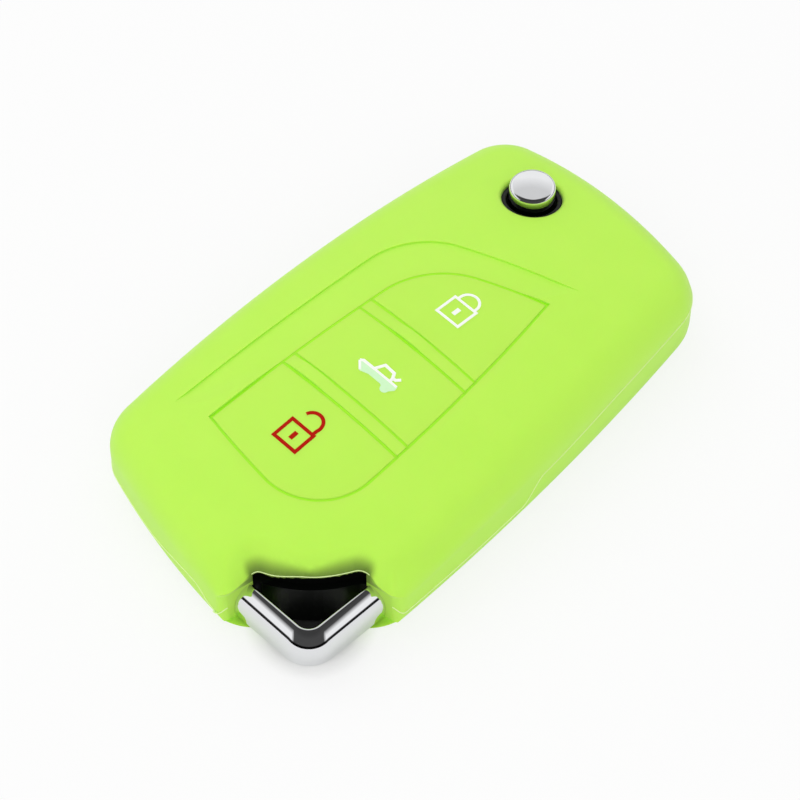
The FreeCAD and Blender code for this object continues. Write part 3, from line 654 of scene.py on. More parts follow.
def carve(piece, cutters, smooth_angle):
    """Cuts closed skins or other pieces out of a piece, one after the other, and keeps the result as its mesh."""
    tools = [tool if isinstance(tool, bpy.types.Object) else mesh_object("cutter", *tool, smooth_angle)
             for tool in cutters]
    for tool in tools:
        cut = piece.modifiers.new("cut", "BOOLEAN")
        cut.operation = "DIFFERENCE"
        cut.solver = "MANIFOLD"
        cut.object = tool
    depsgraph = bpy.context.evaluated_depsgraph_get()
    result = bpy.data.meshes.new_from_object(piece.evaluated_get(depsgraph))
    if len(result.polygons) < LEAST_KEPT * len(piece.data.polygons):
        raise RuntimeError("the cuts left too little of " + piece.name)
    piece.modifiers.clear()
    blank = piece.data
    piece.data = result
    bpy.data.meshes.remove(blank)
    result.name = piece.name
    for tool in tools:
        data = tool.data
        bpy.data.objects.remove(tool)
        bpy.data.meshes.remove(data)
    soften(result, smooth_angle)


def upright(plan, low, high):
    """Closed prism over a plan outline."""
    return skin(np.stack([raised(plan, z) for z in (low, high)]), flat_ends=True)


def box_plan(x_low, x_high, y_low, y_high):
    """Four corners of a rectangle, anticlockwise."""
    return np.array([[x_low, y_low], [x_high, y_low], [x_high, y_high], [x_low, y_high]])


def circle_plan(centre, radius, count=CIRCLE_STEPS):
    """A circle in plan."""
    return arc(centre, radius, 0.0, 2 * math.pi, count + 1)[0][:-1]


def pad_plan(name, inset, angles, draw_in=0.0):
    """Outline of one pad about its centre, drawn in towards it by a distance.

    For each angle it is the nearer of the field's edge and the cross bars."""
    centre = PAD_CENTRES[name]
    low, high = PAD_SPANS[name]
    way = np.stack([np.cos(angles), np.sin(angles)], axis=-1)
    rise = way[:, 1]
    bar = np.where(rise > 0, high - inset, centre[1] * 2 - low - inset) - centre[1]
    edge = polar_reach(field_edge(inset), centre, angles)
    reach = np.minimum(edge, bar / np.maximum(np.abs(rise), LEAST_RISE)) - draw_in
    return np.array(centre) + way * reach[:, None]


def window_cutter(name, height):
    """Room of one pad: a slot down to the ledge and a smaller window through the rest."""
    wide, tight = [pad_plan(name, inset, full_turn(WINDOW_STEPS)) for inset in (0.0, WINDOW_INSET)]
    return skin(np.array([raised(tight, SPLIT_Z), on_crown(tight, height, LEDGE_DROP),
                          on_crown(wide, height, LEDGE_DROP), raised(wide, height + ABOVE)]))


def groove_cutter(height):
    """Fine groove along the whole edge of the field, which also parts the cross bars' ends from the top."""
    edge = field_edge(GROOVE_WIDTH / 2 + SLIT_EASE, LINE_DENSITY)
    return stroke(edge, GROOVE_WIDTH, True, height, 0.0, -GROOVE_DEPTH, GROOVE_ABOVE)


def web_strips(gap, height):
    """Thin webs that join the pads to the cover: flat strips along the field's edge and both sides of each bar."""
    width = gap + WEB_SEAT - SLIT_EASE
    middle = (gap - WEB_SEAT) / 2
    edge = field_edge(middle, LINE_DENSITY)
    strips = [stroke(edge, width, True, height, WEB_DROP, -WEB_DEPTH, 0.0)]
    for bar in BARS:
        for side in (-1, 1):
            y = bar + side * (BAR_HALF + middle)
            left, right = [polar_reach(edge, (0.0, y), angle) for angle in (math.pi, 0.0)]
            path = np.column_stack([np.linspace(-left, right, WEB_POINTS), np.full(WEB_POINTS, y)])
            strips.append(stroke(path, width, False, height, WEB_DROP + WEB_STEP, -WEB_DEPTH, 0.0))
    return strips


def hole_rings(section, height):
    """Circles round the release button, each with its radius and its depth under the crown."""
    return np.array([on_crown(circle_plan(PIVOT, radius), height, depth) for radius, depth in section])


def hole_cutter(height):
    """Hole for the release button: a straight bore with a rolled rim, open above the crown."""
    turn = np.linspace(0.0, math.pi / 2, ROLL_POINTS)
    roll = np.column_stack([HOLE_RADIUS + HOLE_ROLL * (1 - np.cos(turn)),
                            HOLE_ROLL * (1 - np.sin(turn)) - HOLE_LIFT])
    section = np.vstack([(HOLE_RADIUS, height - SPLIT_Z), roll, (roll[-1, 0], -ABOVE)])
    return skin(hole_rings(section, height))


def rounded_polygon(corners, rounds, density):
    """Straight-sided outline whose corners are turned by arcs."""
    corners = [np.array(c, float) for c in corners]
    turns = []
    for index, (corner, radius) in enumerate(zip(corners, rounds)):
        ways = [corners[index - 1] - corner, corners[(index + 1) % len(corners)] - corner]
        into, out = [way / np.linalg.norm(way) for way in ways]
        half = math.acos(into @ out) / 2
        hub = corner + (into + out) / np.linalg.norm(into + out) * radius / math.sin(half)
        ends = [corner + way * radius / math.tan(half) - hub for way in (into, out)]
        turn = np.unwrap([math.atan2(e[1], e[0]) for e in ends])
        turns.append(arc(hub, radius, *turn, int(radius * 2 * density) + 1)[0])
    rows = []
    for piece, following in zip(turns, turns[1:] + turns[:1]):
        line = following[0] - piece[-1]
        share = np.linspace(0, 1, int(np.linalg.norm(line) * density) + 2)[1:-1, None]
        rows += [piece, piece[-1] + line * share]
    return np.vstack(rows)


def panel_cutter(height):
    """Room over the sunk panel: its floor follows the crown and comes up at the panel's two ends."""
    angles = full_turn(FIELD_STEPS)
    way = np.stack([np.cos(angles), np.sin(angles)], axis=-1)
    edges = (field_edge(0.0), rounded_polygon(PANEL_CORNERS, PANEL_ROUNDS, PANEL_DENSITY))
    reach = np.maximum(*[polar_reach(edge, FIELD_CENTRE, angles) for edge in edges])
    rings = []
    for share in np.linspace(PANEL_POLE, 1.0, PANEL_RINGS):
        plan = np.array(FIELD_CENTRE) + way * (reach * share)[:, None]
        aside = plan[:, 0] - PANEL_SLANT * (plan[:, 1] - PANEL_FAR[1])
        fade = smooth_step(*PANEL_START, plan[:, 1]) * (1 - smooth_step(*PANEL_STOP, aside))
        rings.append(on_crown(plan, height, (PANEL_DEPTH + PANEL_CLEAR) * fade - PANEL_CLEAR))
    rings.append(raised(plan, height + ABOVE))
    return skin(np.array(rings))


def at_ring(pairs):
    """Plan points from distances to the bail's two outer faces."""
    pairs = np.asarray(pairs, float)
    return np.stack([RING_CORNER[0] - pairs[..., 0], RING_CORNER[1] + pairs[..., 1]], axis=-1)


def ring_pairs(plan):
    """Distances of plan points to the bail's two outer faces."""
    return np.column_stack([RING_CORNER[0] - plan[:, 0], plan[:, 1] - RING_CORNER[1]])


def arm_plan(pairs, near_arm):
    """Plan outline beside either arm of the bail from one that is drawn beside the near arm."""
    return at_ring(pairs)[::-1] if near_arm else at_ring(pairs[:, ::-1])


def lobe_hub(reach, radius):
    """Centre of the lobe that ends at a reach and touches the bow from outside."""
    along = reach - radius
    return np.array([along, BOW_HUB - math.sqrt((BOW_RADIUS + radius) ** 2 - (along - BOW_HUB) ** 2)])


def half_opening(reach, radius, face=None):
    """Half of the open corner's edge: bow from its middle, lobe and, with a face, the rounded ear beside the arm."""
    hub = lobe_hub(reach, radius)
    to_hub = math.atan2(hub[1] - BOW_HUB, hub[0] - BOW_HUB)
    rows = [arc((BOW_HUB, BOW_HUB), BOW_RADIUS, BOW_MIDDLE, to_hub, BOW_POINTS)[0][:-1],
            arc(hub, radius, to_hub + math.pi, 0.0, LOBE_POINTS)[0]]
    if face is not None:
        rows.append(arc((face + EAR_ROUND, EAR_TURN), EAR_ROUND, math.pi, 1.5 * math.pi, EAR_POINTS)[0])
    return np.vstack(rows)


def nearest_on(edge, points):
    """For each point the place of the edge's nearest point in its row, and the offset from it."""
    offset = points[:, None, :] - edge[None, :, :]
    nearest = np.argmin(np.sum(offset ** 2, axis=2), axis=1)
    return nearest, offset[np.arange(len(points)), nearest]


def edge_roll(half, side):
    """Depth of the rolled lip at points of half of the edge: the bow's, the lobe's and then the ear's."""
    lobe = LIP_ROLL + (LOBE_ROLLS[side] - LIP_ROLL) * smooth_step(*LOBE_ZONE, half[:, 0])
    hub = lobe_hub(LOBE_REACH, LOBE_RADII[side])[1]
    return EAR_ROLL + (lobe - EAR_ROLL) * smooth_step(EAR_TURN, hub, half[:, 1])


def lip_drop(plan, rise):
    """How far the top rolls down to the open corner's edge: a soft curve of the distance from that edge.

    The roll is larger at the ears than on the bow and dies out where the surface is a wall."""
    pair = ring_pairs(plan)
    drop = np.zeros(len(plan))
    for side, radius in enumerate(LOBE_RADII):
        half = half_opening(LOBE_REACH, radius, EAR_FACE)
        along = np.concatenate([[0.0], np.cumsum(np.linalg.norm(np.diff(half, axis=0), axis=1))])
        share = np.linspace(0.0, along[-1], LIP_POINTS)
        half = np.column_stack([np.interp(share, along, column) for column in half.T])
        inward = left_of(unit(np.gradient(half, axis=0)))
        here = pair if side == 0 else pair[:, ::-1]
        near = np.flatnonzero((here[:, 0] < EAR_FACE + ROLL_ZONE * EAR_ROLL) & (here[:, 0] >= here[:, 1]))
        nearest, offset = nearest_on(half, here[near])
        far = np.linalg.norm(offset, axis=1) * (np.sum(offset * inward[nearest], axis=1) > 0)
        roll = edge_roll(half[nearest], side)
        drop[near] = roll * rise[near] ** RISE_POWER * np.clip(1 - far / roll, 0.0, 1.0) ** ROLL_POWER
    return drop


def ring_cutter(reach, levels, faces):
    """Room of the open corner at some levels: the edge along the near arm, along the right arm and a square outside.

    The face of the ears may change with the level, which hollows them round the ends of the arms."""
    rings = []
    for z, face in zip(levels, faces):
        near, right = [half_opening(reach, radius, face) for radius in LOBE_RADII]
        outside = [(near[-1, 0], -OUTSIDE), (-OUTSIDE_CORNER, -OUTSIDE_CORNER), (-OUTSIDE, right[-1, 0])]
        rings.append(raised(at_ring(np.vstack([near, outside, right[:0:-1, ::-1]])), z))
    return skin(np.array(rings), flat_ends=True)


def foot_cutter(low, high):
    """Room in the cover's floor for the foot of the housing behind the key ring gap."""
    radius = BOW_RADIUS - FOOT_BACK
    turn = math.acos((BOW_HUB - FOOT_END) / radius)
    bow = arc((BOW_HUB, BOW_HUB), radius, turn - math.pi, -turn - math.pi / 2, BOW_POINTS)[0]
    corner = [(FOOT_SIDE, FOOT_END), (FOOT_SIDE, FOOT_SIDE), (FOOT_END, FOOT_SIDE)]
    return upright(at_ring(np.vstack([bow, corner]))[::-1], low, high)


def ear_block(near_arm):
    """Block behind the end of one arm of the bail, where the ear is solid."""
    plan = box_plan(EAR_FACE - EAR_OVERLAP, CHEEK_END, -ARM_OUTSIDE, CHEEK_INNER)
    return upright(arm_plan(plan, near_arm), -BELOW, FAR_BEYOND)


def seat_block(near_arm):
    """Room in the lower housing for the end of one arm of the bail."""
    plan = box_plan(FLOOR_REACH, BAIL_REACH + SEAT_GAP, -ARM_OUTSIDE, BAIL_BAR - BAIL_PROUD + SEAT_GAP)
    return upright(arm_plan(plan, near_arm), BAIL_LOW - SEAT_GAP, FAR_BEYOND)


def bottom_inset(z):
    """How far the quarter round of the back draws the outline in at a height."""
    return BOTTOM_ROUND - np.sqrt(BOTTOM_ROUND ** 2 - np.clip(BOTTOM_ROUND - z, 0.0, BOTTOM_ROUND) ** 2)


def strip_cutter(near_arm):
    """Room outside the rounded end of the floor's strip under one arm: an arc that keeps the back's quarter round."""
    climb = (FLOOR_TOP + STRIP_PAST) * np.linspace(STRIP_FIRST, 1.0, STRIP_LEVELS) ** 2
    rings = []
    for z in (-BELOW, *climb):
        radius = STRIP_ROUND - bottom_inset(max(z, STRIP_LEAST))
        edge = arc(STRIP_HUB, radius, -math.pi / 2, -math.pi, BEND_POINTS)[0][:-STRIP_CUT]
        outside = [(-OUTSIDE, edge[-1, 1]), (-OUTSIDE, -OUTSIDE), (STRIP_HUB[0], -OUTSIDE)]
        rings.append(raised(arm_plan(np.vstack([edge, outside]), near_arm), z))
    return skin(np.array(rings), flat_ends=True)


def bail_section():
    """Section of the bail's bar: rounded foot, upright sides, and a quarter crown that ends in a fine inner edge."""
    hub = BAIL_CROWN - BAIL_INNER
    aside = BAIL_CROWN + BAIL_INNER - BAIL_BAR
    meet = math.acos(-aside / hub)
    rise = math.sqrt(hub ** 2 - aside ** 2)
    foot = BAIL_LOW + BAIL_FOOT
    rows = [arc((BAIL_FOOT, foot), BAIL_FOOT, math.pi, 1.5 * math.pi, FOOT_POINTS)[0],
            arc((BAIL_BAR - BAIL_FOOT, foot), BAIL_FOOT, -0.5 * math.pi, 0.0, FOOT_POINTS)[0],
            arc((BAIL_BAR - BAIL_INNER, BAIL_TURN + rise), BAIL_INNER, 0.0, meet, EDGE_POINTS)[0][:-1],
            arc((BAIL_CROWN, BAIL_TURN), BAIL_CROWN, meet, math.pi, BOW_POINTS)[0]]
    return np.vstack(rows) - (BAIL_PROUD, 0.0)


def bail_rings():
    """Sections of the bail carried along its two arms and round its corner; each end is drawn in along a round."""
    section = bail_section()
    size = np.ptp(section, axis=0)
    middle = section.min(axis=0) + size / 2
    turn = np.linspace(0.0, math.pi / 2, END_POINTS)
    inset = np.concatenate([BAIL_END * (1 - np.sin(turn)), [0.0]])
    along = np.concatenate([BAIL_REACH - BAIL_END * (1 - np.cos(turn)), [BAIL_BEND]])
    bend = np.linspace(-math.pi / 2, -math.pi, BEND_POINTS)[1:-1]
    way = np.stack([np.cos(bend), np.sin(bend)], axis=-1)
    arm = np.column_stack([along, np.zeros(len(along))])
    foot = np.vstack([arm, BAIL_BEND + BAIL_BEND * way, arm[::-1, ::-1]])
    inward = np.vstack([np.tile((0.0, 1.0), (len(arm), 1)), -way, np.tile((1.0, 0.0), (len(arm), 1))])
    inset = np.concatenate([inset, np.zeros(len(bend)), inset[::-1]])
    rings = middle + (section - middle) * (1 - 2 * inset[:, None, None] / size)
    pair = foot[:, None, :] + inward[:, None, :] * rings[:, :, :1]
    return np.concatenate([at_ring(pair), rings[:, :, 1:]], axis=-1)


def stroke(path, width, closed, height, drop, low=INK_FOOT, high=INK_FACE):
    """A line that follows the crown: a flat bar carried along a path, mitred at its corners.

    It reaches from a low to a high place against a depth under the crown."""
    path = np.asarray(path, float)
    ahead = np.roll(path, -1, axis=0) - path
    if not closed:
        ahead[-1] = ahead[-2]
    ahead = unit(ahead)
    behind = np.roll(ahead, 1, axis=0)
    if not closed:
        behind[0] = ahead[0]
    both = unit(ahead + behind)
    mitre = 1 / np.clip(np.sum(both * ahead, axis=1), MITRE_LEAST, 1.0)
    edge = left_of(both) * (mitre * width / 2)[:, None]
    rows = [on_crown(path + side * edge, height, drop) + (0.0, 0.0, lift)
            for side, lift in ((-1, low), (1, low), (1, high), (-1, high))]
    return skin(np.stack(rows, axis=1), closed)


def filled(plan, height, drop, lift):
    """A filled patch on a pad: an outline drawn in to its middle on the crown, with a short wall below it."""
    plan = np.asarray(plan, float)
    middle = plan.mean(axis=0)
    rings = [on_crown(plan, height, drop) + (0.0, 0.0, INK_FOOT)]
    rings += [on_crown(middle + (plan - middle) * share, height, drop) + (0.0, 0.0, lift) for share in PATCH_RINGS]
    return skin(np.array(rings))


def tube(path, outward, radius, sides):
    """Skin of a round wire: a small circle carried along a path, turned from an outward direction."""
    across = unit(np.cross(np.gradient(path, axis=0), outward))
    turn = np.linspace(0, 2 * math.pi, sides + 1)[:-1, None]
    around = np.cos(turn) * outward[:, None, :] - np.sin(turn) * across[:, None, :]
    return skin(path[:, None, :] + radius * around)


def add_node(tree, kind, links=(), **values):
    """Adds a shader node, sets its properties and plain inputs, and links outputs of other nodes into it."""
    node = tree.nodes.new(kind)
    for key, value in values.items():
        if key in node.bl_rna.properties:
            setattr(node, key, value)
        else:
            node.inputs[key.replace("_", " ")].default_value = value
    for socket, source in links:
        tree.links.new(source, node.inputs[socket])
    return node


def new_material(name):
    """An empty node material and its tree."""
    material = bpy.data.materials.new(name)
    material.use_nodes = True
    material.node_tree.nodes.clear()
    return material, material.node_tree


def finish_material(tree, shader):
    """Wires a shader to the material's output."""
    add_node(tree, "ShaderNodeOutputMaterial", [("Surface", shader.outputs[0])])


def ramp_colours(ramp, colours):
    """Gives the stops of a colour ramp their colours."""
    for element, rgb in zip(ramp.color_ramp.elements, colours):
        element.color = tuple(min(1.0, value) for value in rgb) + (1.0,)


def grained(name, code, metallic, roughness, grain, grain_depth, spread, specular=0.5):
    """A finish with fine grain: object-space noise shifts the colour a little and lifts the surface."""
    material, tree = new_material(name)
    place = add_node(tree, "ShaderNodeTexCoord")
    noise = add_node(tree, "ShaderNodeTexNoise", [("Vector", place.outputs["Object"])],
                     Scale=1 / (grain * MM), Detail=GRAIN_DETAIL)
    ramp = add_node(tree, "ShaderNodeValToRGB", [("Fac", noise.outputs["Fac"])])
    ramp_colours(ramp, [[c * tone for c in srgb(code)[:3]] for tone in (1 - spread, 1 + spread)])
    bump = add_node(tree, "ShaderNodeBump", [("Height", noise.outputs["Fac"])],
                    Strength=GRAIN_BUMP, Distance=grain_depth * MM)
    shader = add_node(tree, "ShaderNodeBsdfPrincipled",
                      [("Base Color", ramp.outputs["Color"]), ("Normal", bump.outputs["Normal"])],
                      Metallic=metallic, Roughness=roughness, Specular_IOR_Level=specular)
    finish_material(tree, shader)
    return material


def moulded_silicone(name, base):
    """Satin silicone: soft light under the skin, faint mottling, and painted shade on the lip at the open corner."""
    material, tree = new_material(name)
    place = add_node(tree, "ShaderNodeTexCoord").outputs["Object"]
    mottle = add_node(tree, "ShaderNodeTexNoise", [("Vector", place)], Scale=1 / (MOTTLE * MM), Detail=MOTTLE_DETAIL)
    tint = add_node(tree, "ShaderNodeValToRGB", [("Fac", mottle.outputs["Fac"])])
    ramp_colours(tint, [[c * part for c, part in zip(base, tone)] for tone in (MOTTLE_DARK, MOTTLE_LIGHT)])
    # Painted shade: near the open corner's edge the lip's mark mixes the colour towards a dark green
    edge = add_node(tree, "ShaderNodeAttribute", attribute_name="lip")
    shade = add_node(tree, "ShaderNodeValToRGB", [("Fac", edge.outputs["Fac"])])
    shade.color_ramp.interpolation = "EASE"
    ramp_colours(shade, (WHITE[:3], (LIP_LEFT, LIP_LEFT, LIP_LEFT)))
    lip = add_node(tree, "ShaderNodeMix", data_type="RGBA",
                   links=[("Factor", shade.outputs["Color"]), (MIX_SECOND, tint.outputs["Color"])])
    lip.inputs[MIX_FIRST].default_value = srgb(LIP_SHADE_COLOUR)
    fine = add_node(tree, "ShaderNodeTexNoise", [("Vector", place)],
                    Scale=1 / (SATIN_GRAIN * MM), Detail=SATIN_DETAIL)
    bump = add_node(tree, "ShaderNodeBump", [("Height", fine.outputs["Fac"])],
                    Strength=SATIN_BUMP, Distance=SATIN_DEPTH * MM)
    shader = add_node(tree, "ShaderNodeBsdfPrincipled",
                      [("Base Color", lip.outputs[MIX_RESULT]), ("Normal", bump.outputs["Normal"])],
                      Roughness=0.5, Specular_IOR_Level=0.35, Sheen_Weight=0.15, Sheen_Roughness=0.4,
                      Subsurface_Weight=0.25, Subsurface_Radius=GLOW_REACH, Subsurface_Scale=GLOW_DEPTH * MM)
    finish_material(tree, shader)
    return material


def length(name, description, millimetres):
    """A length property whose default is given in millimetres."""
    return bpy.props.FloatProperty(name=name, description=description, default=millimetres * MM,
                                   unit="LENGTH", precision=5)


def colour(name, description, code):
    """A colour property whose default is given as a hex colour."""
    return bpy.props.FloatVectorProperty(name=name, description=description, default=srgb(code),
                                         size=4, subtype="COLOR", min=0.0, max=1.0)


class FobCoverSizes(bpy.types.PropertyGroup):
    """Sizes and colours of the cover that a user may change."""
    height: length("Height", "Height of the cover's crown above its back", CROWN_HEIGHT)
    wall: length("Wall", "Thickness of the side wall", 2.0)
    top_skin: length("Top skin", "Thickness of the crowned top", 2.0)
    floor_skin: length("Floor skin", "Thickness of the flat back", 1.7)
    pad_gap: length("Pad gap", "Slit round each pad", 0.4)
    symbol_line: length("Symbol line", "Width of the symbols' lines", 0.48)
    flash: length("Moulding line", "Radius of the raised line where the mould halves meet", 0.08)
    cover_colour: colour("Cover colour", "Colour of the moulded silicone", COVER_COLOUR)
    # painted light: the webs' brighter, greener colour stands for light shining through the thin silicone
    web_lit_colour: colour("Web colour", "Colour of the thin webs round the pads", WEB_LIT_COLOUR)


def silicone(sizes):
    """The cover's silicone, made once."""
    found = bpy.data.materials.get("lime_silicone_moulded")
    return found or moulded_silicone("lime_silicone_moulded", sizes.cover_colour)


def paint_lip_shade(mesh):
    """Paints shade on the rolled lip: a mark 1 on the edge of the bow and lobes, falling to 0 over the roll, wider at
    the lobes.
    """
    place = np.empty(len(mesh.vertices) * 3)
    mesh.vertices.foreach_get("co", place)
    place = place.reshape(-1, 3) / MM
    pair = ring_pairs(place)
    value = np.zeros(len(place), dtype=np.float32)
    for side, radius in enumerate(LOBE_RADII):
        edge = half_opening(LOBE_REACH, radius)
        here = pair if side == 0 else pair[:, ::-1]
        near = np.flatnonzero((here[:, 0] < EAR_FACE + LIP_ROLL) & (here[:, 0] >= here[:, 1])
                              & (place[:, 2] > LIP_SHADE_LOW))
        nearest, offset = nearest_on(edge, here[near])
        width = LIP_SHADE + LOBE_SHADE * smooth_step(*LOBE_SHADE_ZONE, edge[nearest, 0])
        fade = np.clip(1 - np.linalg.norm(offset, axis=1) / width, 0.0, 1.0)
        value[near] = fade * smooth_step(*ARM_SHADE_ZONE, here[near, 1])
    mesh.attributes.new("lip", "FLOAT", "POINT").data.foreach_set("value", value)


def corner_cutters(height):
    """Rooms of the open corner: its opening with hollowed ears, its floor, the housing's foot and the strips' ends."""
    climb = HOLLOW_LOW + (HOLLOW_HIGH - HOLLOW_LOW) * np.linspace(0.0, 1.0, HOLLOW_LEVELS)
    levels = np.concatenate([[FLOOR_TOP], climb, [height + OPEN_ABOVE]])
    hollow = EAR_HOLLOW + (EAR_FACE - EAR_HOLLOW) * smooth_step(HOLLOW_LOW, HOLLOW_HIGH, levels)
    floor = (-BELOW, FLOOR_TOP + PAST_FLOOR)
    return [ring_cutter(LOBE_REACH, levels, hollow), ring_cutter(FLOOR_REACH, floor, (None, None)),
            foot_cutter(*floor), strip_cutter(True), strip_cutter(False)]


def blade_cutters():
    """Rooms of the folding blade: a disc for its rotor, the rotor's way out at the left and far side, a slot."""
    rotor = (SPLIT_Z - ROTOR_HALF, SPLIT_Z + ROTOR_HALF)
    left = box_plan(-FAR_BEYOND, PIVOT[0], PIVOT[1] - LUG_NEAR, FAR_BEYOND)
    far = box_plan(-FAR_BEYOND, PIVOT[0] + LUG_SIDE, PIVOT[1], FAR_BEYOND)
    blade = box_plan(-FAR_BEYOND, BLADE_EDGE, BLADE_TIP, PIVOT[1])
    rooms = [upright(plan, *rotor) for plan in (circle_plan(PIVOT, ROTOR_ROOM), left, far)]
    return rooms + [upright(blade, SPLIT_Z - BLADE_HALF, SPLIT_Z + BLADE_HALF)]


class FOB_OT_cover(bpy.types.Operator):
    """Builds the moulded cover round the remote"""
    bl_idname = "fob.cover"
    bl_label = "Silicone cover"

    def execute(self, context):
        sizes = context.scene.fob_cover
        height = sizes.height / MM
        top = sizes.top_skin / MM
        form = pillow_rings(0.0, 0.0, height, COVER_DENSITY, 0.0)
        room = pillow_rings(sizes.wall / MM, sizes.floor_skin / MM, height - top, ROOM_DENSITY, top - LIP_EDGE)
        cover = mesh_object("cover_sleeve", *skin(form), SOFT_EDGE)
        inner = mesh_object("cutter", *skin(room), SOFT_EDGE)
        carve(inner, [ear_block(True), ear_block(False)], SOFT_EDGE)
        cutters = [inner, panel_cutter(height)] + [window_cutter(name, height) for name in PADS]
        cutters += [groove_cutter(height), hole_cutter(height)] + corner_cutters(height) + blade_cutters()
        carve(cover, cutters, SOFT_EDGE)
        paint_lip_shade(cover.data)
        cover.data.materials.clear()
        cover.data.materials.append(silicone(sizes))
        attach(cover, "fob")
        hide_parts("silicone_cover")
        return {"FINISHED"}


def moulding_runs():
    """Two runs of the moulding line, each from the ear along its wall: points and outward directions."""
    outline, normal = bowed_outline(PLAN_CORNERS, PLAN_BOWS, PLAN_ROUNDS, 0.0, LINE_DENSITY)
    x, y = outline.T
    nose = half_opening(LOBE_REACH, LOBE_RADII[0], EAR_HOLLOW)[-NOSE_POINTS:]
    facing = (nose - (EAR_HOLLOW + EAR_ROUND, EAR_TURN)) / EAR_ROUND
    rise = NOSE_RISE * smooth_step(0.0, 1.0, np.linspace(*NOSE_SPAN, NOSE_POINTS))
    on_right = (x > RIGHT_WALL_X) & (y > RING_CORNER[1] + nose[-1, 0])
    on_near = (y < NEAR_WALL_Y) & (x < RING_CORNER[0] - nose[-1, 0])
    runs = []
    for side, along, steps, order in ((on_right, y, FLASH_RIGHT, 1), (on_near, x, FLASH_NEAR, -1)):
        index = np.flatnonzero(side)[::order]
        z = sum((lift * smooth_step(low, high, along[index]) for lift, low, high in steps), FLASH_LEVEL)
        wall = raised(outline[index] - normal[index] * bottom_inset(z)[:, None], z)
        curl = raised(at_ring(nose[:, ::-order]), z[0] + rise)
        way = facing[:, ::-order] * (-1.0, 1.0)
        runs.append((np.vstack([curl, wall]), np.vstack([way, normal[index]])))
    return runs


def lip_run(height):
    """The open corner's edge over its bow and lobes, with directions into the opening; the pale bead laid on it is a
    painted highlight on the crisp edge.
    """
    near, right = [half_opening(LOBE_REACH, radius)[:-1] for radius in LOBE_RADII]
    roll = np.concatenate([edge_roll(right[:0:-1], 1), edge_roll(near, 0)])
    edge = at_ring(np.vstack([right[:0:-1, ::-1], near]))
    return on_crown(edge, height, roll), left_of(unit(np.gradient(edge, axis=0)))


class FOB_OT_moulding_line(bpy.types.Operator):
    """Raises the fine lines where the halves of the mould meet and along the open corner's lip, pale as a painted
    highlight
    """
    bl_idname = "fob.moulding_line"
    bl_label = "Moulding line"

    def execute(self, context):
        sizes = context.scene.fob_cover
        runs = moulding_runs() + [lip_run(sizes.height / MM)]
        skins = [tube(path, raised(outward, 0.0), sizes.flash / MM, FLASH_SIDES) for path, outward in runs]
        line = mesh_object("moulding_line", *join_skins(skins), WIRE_EDGE)
        # the pale flash tone is a painted highlight on the moulding line and the lip's bead
        line.data.materials.append(grained(*TRIMS["flash"]))
        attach(line, "fob")
        return {"FINISHED"}


def pad_rings(name, gap, height):
    """Rings of one pad: a short wall, a rolled edge, and a face on the crown drawn in to its centre."""
    angles = full_turn(PAD_STEPS)
    rings = [on_crown(pad_plan(name, gap, angles), height, PAD_UNDER)]
    for turn in np.linspace(0.0, math.pi / 2, PAD_EDGE_POINTS):
        edge = pad_plan(name, gap, angles, PAD_EDGE * (1 - math.cos(turn)))
        rings.append(on_crown(edge, height, PAD_DROP + PAD_EDGE * (1 - math.sin(turn))))
    centre = np.array(PAD_CENTRES[name])
    for share in np.linspace(1.0, PAD_POLE, PAD_RINGS)[1:]:
        rings.append(on_crown(centre + (edge - centre) * share, height, PAD_DROP))
    return np.array(rings)


class FOB_OT_pads(bpy.types.Operator):
    """Builds the button pads of the cover and the thin webs that hold them, the webs in a brighter green that is
    painted light through the thin silicone
    """
    bl_idname = "fob.pads"
    bl_label = "Button pads"

    def execute(self, context):
        sizes = context.scene.fob_cover
        height = sizes.height / MM
        gap = sizes.pad_gap / MM
        for name in PADS:
            pad = mesh_object(name + "_pad_face", *skin(pad_rings(name, gap, height)), SOFT_EDGE)
            pad.data.materials.append(silicone(sizes))
            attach(pad, name + "_button")
            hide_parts(name + "_pad")
        web = mesh_object("pad_web", *join_skins(web_strips(gap, height)), SOFT_EDGE)
        # painted light: the web material is the cover's silicone made brighter and greener for light through the thin
        # web
        web.data.materials.append(moulded_silicone("lime_silicone_thin_web_lit", sizes.web_lit_colour))
        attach(web, "fob")
        return {"FINISHED"}


def padlock(name):
    """Lines of a padlock: its body, its keyhole, and its shackle, which is half a turn between its feet."""
    (left, right, low, high), centre, radius, start, before, after, weight = PADLOCKS[name]
    x = (left + right) / 2
    y = (low + high) / 2
    keyhole = [(x, y + step) for step in KEYHOLE]
    hoop = arc(centre, radius, start * math.pi, (start + 1) * math.pi, HOOP_POINTS)[0].tolist()
    return [(box_plan(left, right, low, high), True, weight), (keyhole, False, KEYHOLE_WEIGHT),
            (before + hoop + after, False, weight)]


def symbol_lines(name):
    """Lines of one pad's symbol in plan: path, whether it closes, and its width against the common one."""
    return padlock(name) if name in PADLOCKS else [(path, False, weight) for path, weight in CAR_LINES]


